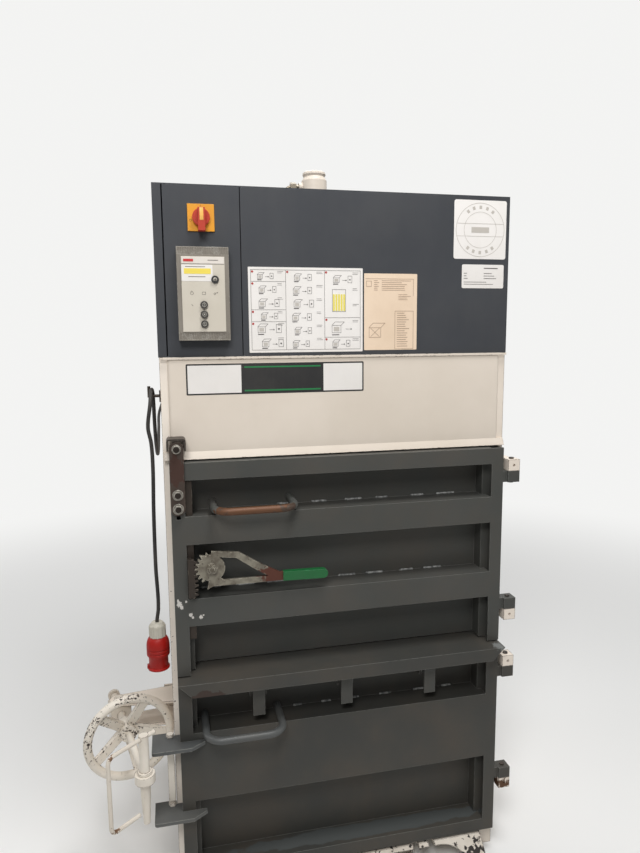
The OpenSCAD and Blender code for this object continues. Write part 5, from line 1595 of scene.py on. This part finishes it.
@dataclass
class LeverLatch:
    """Toothed lever, rack, slide and the latch bar in its keeper."""

    nut: float = 0.0085
    nut_reach: float = 0.05
    nut_front: float = 0.008
    bolt_rise: tuple[float, float] = (0.018, 0.055)
    boss_drop: float = 0.019
    red_share: float = 0.62
    red_size: Spot = (0.022, 0.03)
    red_tall: float = 0.22
    rust_shift: Spot = (0.012, 0.008)
    rust_size: Point = (0.058, 0.05, 0.034)
    grime_size: Point = (0.07, 0.05, 0.07)

    def bar(self, shop: Workshop) -> None:
        """Dresses the brown latch bar and its bolts.

        Args:
            shop: Workshop.
        """
        low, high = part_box("latch_bar")
        x = (low[0] + high[0]) / 2
        tall = high[2] - low[2]
        red = Worn((x, low[1], low[2] + tall * self.red_share), (*self.red_size, tall * self.red_tall),
                   srgb(66, 46, 39), 0.6, 60.0)
        brown = Paint("latch_brown", srgb(68, 56, 48), srgb(56, 46, 40), under=srgb(104, 74, 56),
                      bare=srgb(112, 98, 88), dust=srgb(52, 44, 39), dirt=0.4, chips=0.4, chip_scale=70.0,
                      edge=0.35, rough=0.48, metal=0.2, bump=0.3, skin_scale=180.0, worn=(red,))
        shop.coat(brown, "latch_bar")
        heights = [low[2] + rise for rise in self.bolt_rise] + [high[2] - self.boss_drop]
        size = (self.nut, self.nut_reach, self.nut)
        nuts = tuple(Worn((x, low[1] - self.nut_front, z), size, srgb(48, 42, 38), 0.06, 60.0)
                     for z in heights)
        shop.coat(replace(STEEL, name="washer_steel", metal=0.7, worn=nuts), "latch_bolts")

    def lever(self, shop: Workshop) -> None:
        """Dresses the lever with rust at its grip and grime round its eye, its stud and its grip.

        Args:
            shop: Workshop.
        """
        low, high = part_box("lever_grip")
        across, up = self.rust_shift
        neck = (low[0] - across, (low[1] + high[1]) / 2, (low[2] + high[2]) / 2 + up)
        rust = Worn(neck, self.rust_size, srgb(84, 48, 37), 0.75, 60.0)
        eye = tuple((a + b) / 2 for a, b in zip(*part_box("lever_stud")))
        grime = Worn(eye, self.grime_size, srgb(62, 54, 46), 0.55, 120.0, Wear.SPECKLED)
        steel = Paint("lever_steel", srgb(140, 135, 121), srgb(96, 89, 78), under=srgb(70, 60, 51),
                      bare=srgb(176, 170, 156), dust=srgb(78, 68, 58), dirt=0.45, dirt_scale=12.0,
                      chips=0.8, tone_scale=32.0, chip_scale=90.0, edge=0.4, rough=0.42, metal=0.3,
                      bare_metal=0.0, bump=0.25, worn=(grime, rust))
        shop.coat(steel, "lever")
        shop.coat(replace(steel, name="stud_steel", base=srgb(118, 112, 98), tone=srgb(92, 86, 75), worn=()),
                  "lever_stud")
        grip = Paint("grip_plastic", srgb(24, 98, 50), srgb(18, 84, 42), under=srgb(12, 56, 28),
                     bare=srgb(70, 140, 96), dust=srgb(46, 80, 56), dirt=0.4, dirt_scale=20.0, chips=0.12,
                     edge=0.3, rough=0.38, bump=0.1)
        shop.coat(grip, "lever_grip")

    def build(self, shop: Workshop) -> None:
        """Dresses the latch.

        Args:
            shop: Workshop.
        """
        self.bar(shop)
        shop.coat(replace(DARK, name="keeper_steel", metal=0.3), "keeper")
        shop.coat(DARK, "slide_bar", "rack")
        self.lever(shop)


@dataclass
class BaleDoor:
    """Lower door with its ledge, handle and strap claws."""

    rib_top: float = 0.535
    bead_ends: Spot = (-0.13, 0.38)
    bead_pitch: float = 0.098
    bead_length: float = 0.65
    bead_seed: int = 4
    stain: tuple[Point, Point] = ((-0.40, -0.44, 0.664), (0.055, 0.02, 0.014))
    corner: tuple[Point, Point] = ((0.455, -0.42, 0.70), (0.014, 0.02, 0.012))
    scrape: tuple[Point, Point] = ((0.10, -0.35, 0.12), (0.44, 0.03, 0.02))

    def paint(self) -> Paint:
        """Mixes the door paint with a brown stain on the ledge, a bare corner and a scraped foot rail.

        Returns:
            The paint.
        """
        worn = (Worn(*self.stain, srgb(64, 54, 49), 0.8, 50.0),
                Worn(*self.corner, srgb(120, 122, 120), 0.7, 120.0),
                Worn(*self.scrape, srgb(80, 83, 82), 0.28, 18.0))
        return replace(DOOR, name="bale_door_paint", base=srgb(62, 62, 59), tone=srgb(68, 67, 63), dirt=0.42,
                       worn=worn)

    def build(self, shop: Workshop) -> None:
        """Dresses door, handle and claws and adds the beads.

        Args:
            shop: Workshop.
        """
        shop.coat(self.paint(), "lower_door")
        shop.coat(GREYBAR, "lower_handle")
        shop.coat(DOOR, "claw_left", "claw_middle", "claw_right")
        shop.coat(DARK, "claw_pins")
        row = (self.rib_top, *self.bead_ends, self.bead_pitch)
        Welds().along(shop, "bale_door_beads", Body.LOWER_DOOR, [row], self.bead_seed, self.bead_length)


@dataclass
class BaleLock:
    """Handwheel on its screw, swinging arm, locking pin and the plates that it draws against."""

    rim_place: Spot = (0.022, 0.035)
    rim_size: Point = (0.085, 0.14, 0.135)
    top_size: Point = (0.10, 0.14, 0.04)
    hub_size: Point = (0.05, 0.08, 0.06)
    bow_inset: float = 0.012
    bow_end: float = 0.01
    bow_size: float = 0.03

    def wheel_paint(self) -> Paint:
        """Mixes the white cast paint with chips at the rim, the top and the hub.

        Returns:
            The paint.
        """
        black = srgb(58, 48, 42)
        low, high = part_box("handwheel")
        x, y, z = ((a + b) / 2 for a, b in zip(low, high))
        rim = (low[0] + self.rim_place[0], y, z + self.rim_place[1])
        chips = (Worn(rim, self.rim_size, black, 1.0, 150.0, Wear.SPECKLED),
                 Worn((x, y, high[2]), self.top_size, black, 0.8, 150.0, Wear.SPECKLED),
                 Worn((x, y, z), self.hub_size, black, 0.75, 120.0, Wear.SPECKLED))
        return Paint("wheel_paint", srgb(228, 221, 209), srgb(212, 203, 190), under=black,
                     bare=srgb(60, 50, 44), dust=srgb(170, 156, 138), dirt=0.3, chips=0.4, chip_scale=90.0,
                     edge=0.35, edge_scale=120.0, rough=0.38, bump=0.3, skin_scale=140.0, worn=chips)

    def bow_paint(self) -> Paint:
        """Mixes the pin's paint, worn brown at both ends of the bow handle.

        Returns:
            The paint.
        """
        low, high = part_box("bow_handle")
        x, y = low[0] + self.bow_inset, low[1] + self.bow_inset
        worn = tuple(Worn((x, y, z), (self.bow_size,) * 3, srgb(112, 84, 62), 0.9, 120.0, Wear.SPECKLED)
                     for z in (low[2] + self.bow_end, high[2] - self.bow_end))
        return replace(PIN, name="bow_paint", worn=worn)

    def build(self, shop: Workshop) -> None:
        """Dresses the lock.

        Args:
            shop: Workshop.
        """
        shop.coat(self.wheel_paint(), "handwheel")
        shop.coat(self.bow_paint(), "bow_handle")
        shop.coat(PIN, "locking_pin", "spindle_eye", "lock_bar")
        shop.coat(replace(PIN, name="arm_paint", chips=0.5, base=srgb(206, 198, 186)), "trunnion", "spindle")
        shop.coat(WALL, "lock_bracket")
        grey = replace(GREYBAR, name="plate_grey", edge=0.45, edge_width=0.0035, metal=0.0)
        shop.coat(grey, "lock_plates")


@dataclass
class PressUnit:
    """Cylinder with its rod, beam, plate and slide pads."""

    def build(self, shop: Workshop) -> None:
        """Dresses the press.

        Args:
            shop: Workshop.
        """
        chrome = Paint("rod_chrome", srgb(206, 206, 206), srgb(196, 196, 196), dirt=0.1, chips=0.0, edge=0.0,
                       rough=0.12, metal=1.0, gloss=0.5, bump=0.02)
        plate = Paint("press_steel", srgb(92, 90, 86), srgb(76, 72, 68), under=srgb(96, 76, 60),
                      bare=srgb(140, 132, 120), dirt=0.4, chips=0.5, edge=0.4, rough=0.42, metal=0.5,
                      bump=0.2)
        pads = Paint("slide_plastic", srgb(214, 208, 190), srgb(200, 194, 176), dirt=0.4, chips=0.0,
                     edge=0.1)
        shop.coat(WALL, "top_beam")
        shop.coat(replace(BAND, name="cylinder_paint", dirt=0.35, edge=0.35), "press_cylinder")
        shop.coat(chrome, "piston_rod")
        shop.coat(plate, "press_plate")
        shop.coat(pads, "guide_pads")


@dataclass
class MainsLead:
    """Black lead from the gland at the back, over the hook, down to the plug."""

    diameter: float = 0.010
    points: tuple[Point, ...] = (
        (-0.420, 0.382, 1.640), (-0.420, 0.400, 1.632), (-0.424, 0.4094, 1.600), (-0.440, 0.4075, 1.500),
        (-0.465, 0.395, 1.420), (-0.492, 0.370, 1.370), (-0.503, 0.340, 1.340), (-0.505, 0.260, 1.300),
        (-0.505, 0.150, 1.265), (-0.505, 0.020, 1.250), (-0.505, -0.110, 1.270), (-0.505, -0.210, 1.320),
        (-0.505, -0.265, 1.385), (-0.505, -0.288, 1.440), (-0.506, -0.300, 1.466), (-0.508, -0.318, 1.474),
        (-0.510, -0.334, 1.462), (-0.512, -0.345, 1.440), (-0.520, -0.345, 1.376), (-0.514, -0.345, 1.338),
        (-0.512, -0.345, 1.290), (-0.515, -0.343, 1.150), (-0.516, -0.340, 1.000), (-0.514, -0.338, 0.880),
        (-0.519, -0.335, 0.842),
    )
    end_handle: float = 0.01
    skirt_inset: float = 0.005
    lip: float = 0.0035
    collar: float = 0.034
    waist_rise: float = 0.013
    waist_tall: float = 0.030
    grooves: int = 2
    groove: float = 0.0012
    groove_pitch: float = 0.010
    shoulder: float = 0.012
    shoulder_steps: int = 6
    lug_half: float = 0.007
    lug_foot: float = 0.002
    lug_top: float = 0.012
    lug_long: float = 0.012

    def directions(self) -> list[Vector]:
        """Works out the direction of the lead at each of its points.

        Returns:
            One unit vector for each point.
        """
        rows = [Vector(point) for point in self.points]
        out = [Vector((0, 1, 0))]
        for before, here, after in zip(rows, rows[1:], rows[2:]):
            out.append(((after - here).normalized() + (here - before).normalized()).normalized())
        out.append(Vector((0, 0, -1)))
        return out

    def path(self, steps: int = 8) -> list[Vector]:
        """Points along the smooth curve.

        Args:
            steps: Points in each stretch.

        Returns:
            The points from the gland to the plug.
        """
        rows = [Vector(point) for point in self.points]
        ways = self.directions()
        out: list[Vector] = []
        for number in range(len(rows) - 1):
            first, last = rows[number], rows[number + 1]
            reach = (last - first).length
            for step in range(steps):
                t = step / steps
                out.append((2 * t**3 - 3 * t**2 + 1) * first + (t**3 - 2 * t**2 + t) * reach * ways[number]
                           + (3 * t**2 - 2 * t**3) * last + (t**3 - t**2) * reach * ways[number + 1])
        out.append(rows[-1])
        return out

    def curve(self) -> bpy.types.Curve:
        """Draws the smooth curve through the points.

        Returns:
            The curve, with the thickness of the lead.
        """
        rows = [Vector(point) for point in self.points]
        ways = self.directions()
        curve = bpy.data.curves.new("lead", "CURVE")
        curve.dimensions = "3D"
        curve.resolution_u = 8
        curve.bevel_depth = self.diameter / 2
        curve.bevel_resolution = 5
        curve.use_fill_caps = True
        spline = curve.splines.new("BEZIER")
        spline.bezier_points.add(len(rows) - 1)
        for number, knot in enumerate(spline.bezier_points):
            knot.co = rows[number]
            before = after = self.end_handle
            if number:
                before = (rows[number] - rows[number - 1]).length / 3
            if number < len(rows) - 1:
                after = (rows[number + 1] - rows[number]).length / 3
            knot.handle_left_type = "FREE"
            knot.handle_right_type = "FREE"
            knot.handle_left = rows[number] - ways[number] * before
            knot.handle_right = rows[number] + ways[number] * after
        return curve

    def plug_profile(self, wide: float, tall: float) -> list[Spot]:
        """Draws half the plug: straight skirt with a lip, grooved waist and a domed shoulder.

        Args:
            wide: Largest radius.
            tall: Height.

        Returns:
            Radius and height of each ring, from the foot up.
        """
        skirt, collar, groove = wide - self.skirt_inset, self.collar, self.groove
        profile = [(skirt, 0.0), (skirt + self.lip, 0.001), (skirt + self.lip, 0.005), (skirt, 0.0065),
                   (skirt, collar), (wide - 0.0005, collar + 0.006), (wide, collar + 0.009)]
        for step in range(self.grooves):
            foot = collar + self.waist_rise + step * self.groove_pitch
            deep = wide - groove * 1.4
            profile += [(wide, foot), (deep, foot + groove), (deep, foot + 2 * groove),
                        (wide, foot + 3 * groove)]
        dome = tall - collar - self.waist_tall
        for step in range(1, self.shoulder_steps + 1):
            turn = step / self.shoulder_steps * math.pi / 2
            radius = wide - self.shoulder * (1 - math.cos(turn))
            profile.append((radius, tall - dome + dome * math.sin(turn)))
        return profile

    def plug(self, shop: Workshop) -> Thing:
        """Turns the red plug and gives it its side lug.

        Args:
            shop: Workshop.

        Returns:
            The plug.
        """
        low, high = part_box("plug_body")
        x, y, _ = self.points[-1]
        body = turned("plug_turned", (x, y, low[2]), self.plug_profile(high[0] - x, high[2] - low[2]))
        lug = block("plug_lug", (low[0], y - self.lug_half, low[2] + self.lug_foot),
                    (low[0] + self.lug_long, y + self.lug_half, low[2] + self.lug_top), 0.002)
        whole = shop.fit(joined([body, lug], "plug_shell"), RED)
        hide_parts("plug_body")
        return whole

    def build(self, shop: Workshop) -> None:
        """Args:
            shop: Workshop.
        """
        curve = self.curve()
        lead = bpy.data.objects.new("lead", curve)
        bpy.context.scene.collection.objects.link(lead)
        sheath = Paint("cable_sheath", srgb(24, 24, 25), srgb(34, 33, 32), dust=srgb(84, 78, 70), dirt=0.5,
                       chips=0.0, edge=0.0, rough=0.55, bump=0.06)
        curve.materials.append(shop.finish(sheath))
        nut = Paint("pale_plastic", srgb(206, 202, 190), srgb(190, 186, 172), dust=srgb(140, 130, 116),
                    dirt=0.4, chips=0.02, edge=0.15, bare=srgb(150, 148, 140), rough=0.42, bump=0.05)
        shop.coat(nut, "plug_nut")
        shop.coat(BLACK, "cable_gland")
        shop.coat(DARK, "cable_hook")
        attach(lead, Body.FRAME.value)
        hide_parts("mains_cable")
        self.plug(shop)


@dataclass
class Camera:
    """Camera at the photograph's place and angle."""

    place: Point = (-0.457, -2.100, 1.610)
    yaw: float = 12.69
    pitch: float = 7.83
    roll: float = -0.47
    focus: float = 659.6
    width: int = 640
    film: float = 36.0
    reach: float = 50.0

    def build(self) -> None:
        """Adds the camera."""
        data = bpy.data.cameras.new("camera")
        data.sensor_fit = "HORIZONTAL"
        data.sensor_width = self.film
        data.lens = self.focus / self.width * self.film
        data.clip_end = self.reach
        camera = bpy.data.objects.new("camera", data)
        turn = Euler((math.radians(90 - self.pitch), 0, math.radians(-self.yaw)), "XYZ").to_matrix()
        lean = Euler((0, 0, math.radians(self.roll)), "XYZ").to_matrix()
        camera.rotation_euler = (turn @ lean).to_euler("XYZ")
        camera.location = self.place
        bpy.context.scene.collection.objects.link(camera)
        bpy.context.scene.camera = camera


@dataclass
class Studio:
    """Pale floor, plain world and soft lamps, the strongest from above."""

    lamps: tuple[tuple[Point, Point, float, float], ...] = (
        ((-1.0, -2.9, 3.5), (0.0, -0.3, 1.0), 1.2, 60.0),
        ((0.3, -1.4, 4.4), (0.0, -0.4, 0.9), 1.2, 74.0),
        ((3.2, -0.5, 2.6), (0.0, 0.0, 1.0), 2.0, 13.0),
        ((-2.8, 0.6, 3.0), (0.0, 0.0, 1.0), 2.0, 18.0),
        ((0.4, 2.4, 3.8), (0.0, 0.0, 1.2), 2.4, 36.0),
    )
    floor_size: float = 60.0
    floor_colour: Colour = (0.86, 0.86, 0.85)
    sky: Colour = (0.90, 0.90, 0.89)
    ambient: float = 0.23
    near: float = 1.4
    away: float = 4.6

    def lay_floor(self) -> None:
        """Adds the floor, which fades into the backdrop away from the machine."""
        deselect()
        bpy.ops.mesh.primitive_plane_add(size=self.floor_size, location=(0, 0, 0))
        floor = bpy.context.active_object
        floor.name = "studio_floor"
        material = bpy.data.materials.new("studio_floor")
        material.use_nodes = True
        tree = Tree(material.node_tree)
        tree.tree.nodes.clear()
        place = tree.add("TexCoord").outputs["Object"]
        away = tree.add("VectorMath", {0: place}, operation="LENGTH").outputs["Value"]
        seen = tree.add("LightPath").outputs["Is Camera Ray"]
        fade = tree.math("MULTIPLY", tree.ramp(away, self.near, self.away), seen)
        solid = tree.add("BsdfPrincipled", {"Base Color": self.floor_colour, "Roughness": 0.8})
        glow = tree.add("Emission", {"Color": self.sky, "Strength": 1.0})
        both = tree.add("MixShader", {0: fade, 1: solid.outputs[0], 2: glow.outputs[0]})
        tree.add("OutputMaterial", {"Surface": both.outputs[0]})
        floor.data.materials.append(material)

    def build(self) -> None:
        """Adds floor, world and lamps."""
        scene = bpy.context.scene
        scene.view_settings.view_transform = "Standard"
        self.lay_floor()
        world = bpy.data.worlds.new("studio")
        world.use_nodes = True
        tree = Tree(world.node_tree)
        tree.tree.nodes.clear()
        path = tree.add("LightPath")
        mirrored = tree.math("MAXIMUM", path.outputs["Is Glossy Ray"], path.outputs["Is Transmission Ray"])
        plain = (self.ambient,) * 3
        shown = tree.mix(mirrored, plain, self.sky)
        colour = tree.mix(path.outputs["Is Camera Ray"], shown, self.sky)
        light = tree.add("Background", {"Color": colour, "Strength": 1.0})
        tree.add("OutputWorld", {"Surface": light.outputs[0]})
        scene.world = world
        for number, (place, target, size, power) in enumerate(self.lamps):
            data = bpy.data.lights.new(f"lamp_{number}", "AREA")
            data.shape = "DISK"
            data.size = size
            data.energy = power
            lamp = bpy.data.objects.new(f"studio_lamp_{number}", data)
            lamp.location = place
            lamp.rotation_euler = (Vector(target) - Vector(place)).to_track_quat("-Z", "Y").to_euler()
            scene.collection.objects.link(lamp)


def main() -> None:
    """Builds the scene in order."""
    logging.basicConfig(level=logging.INFO, format="%(name)s %(message)s")
    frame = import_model()
    shop = Workshop(frame["nodes"])
    Camera().build()
    MainsLead().build(shop)
    Studio().build()
    for kind in (Hood, Controls, Chamber, Hinges, FillingDoor, LeverLatch, BaleDoor, BaleLock, PressUnit):
        LOG.info("building %s", kind.__name__)
        kind().build(shop)
    deselect()


if __name__ == "__main__":
    main()
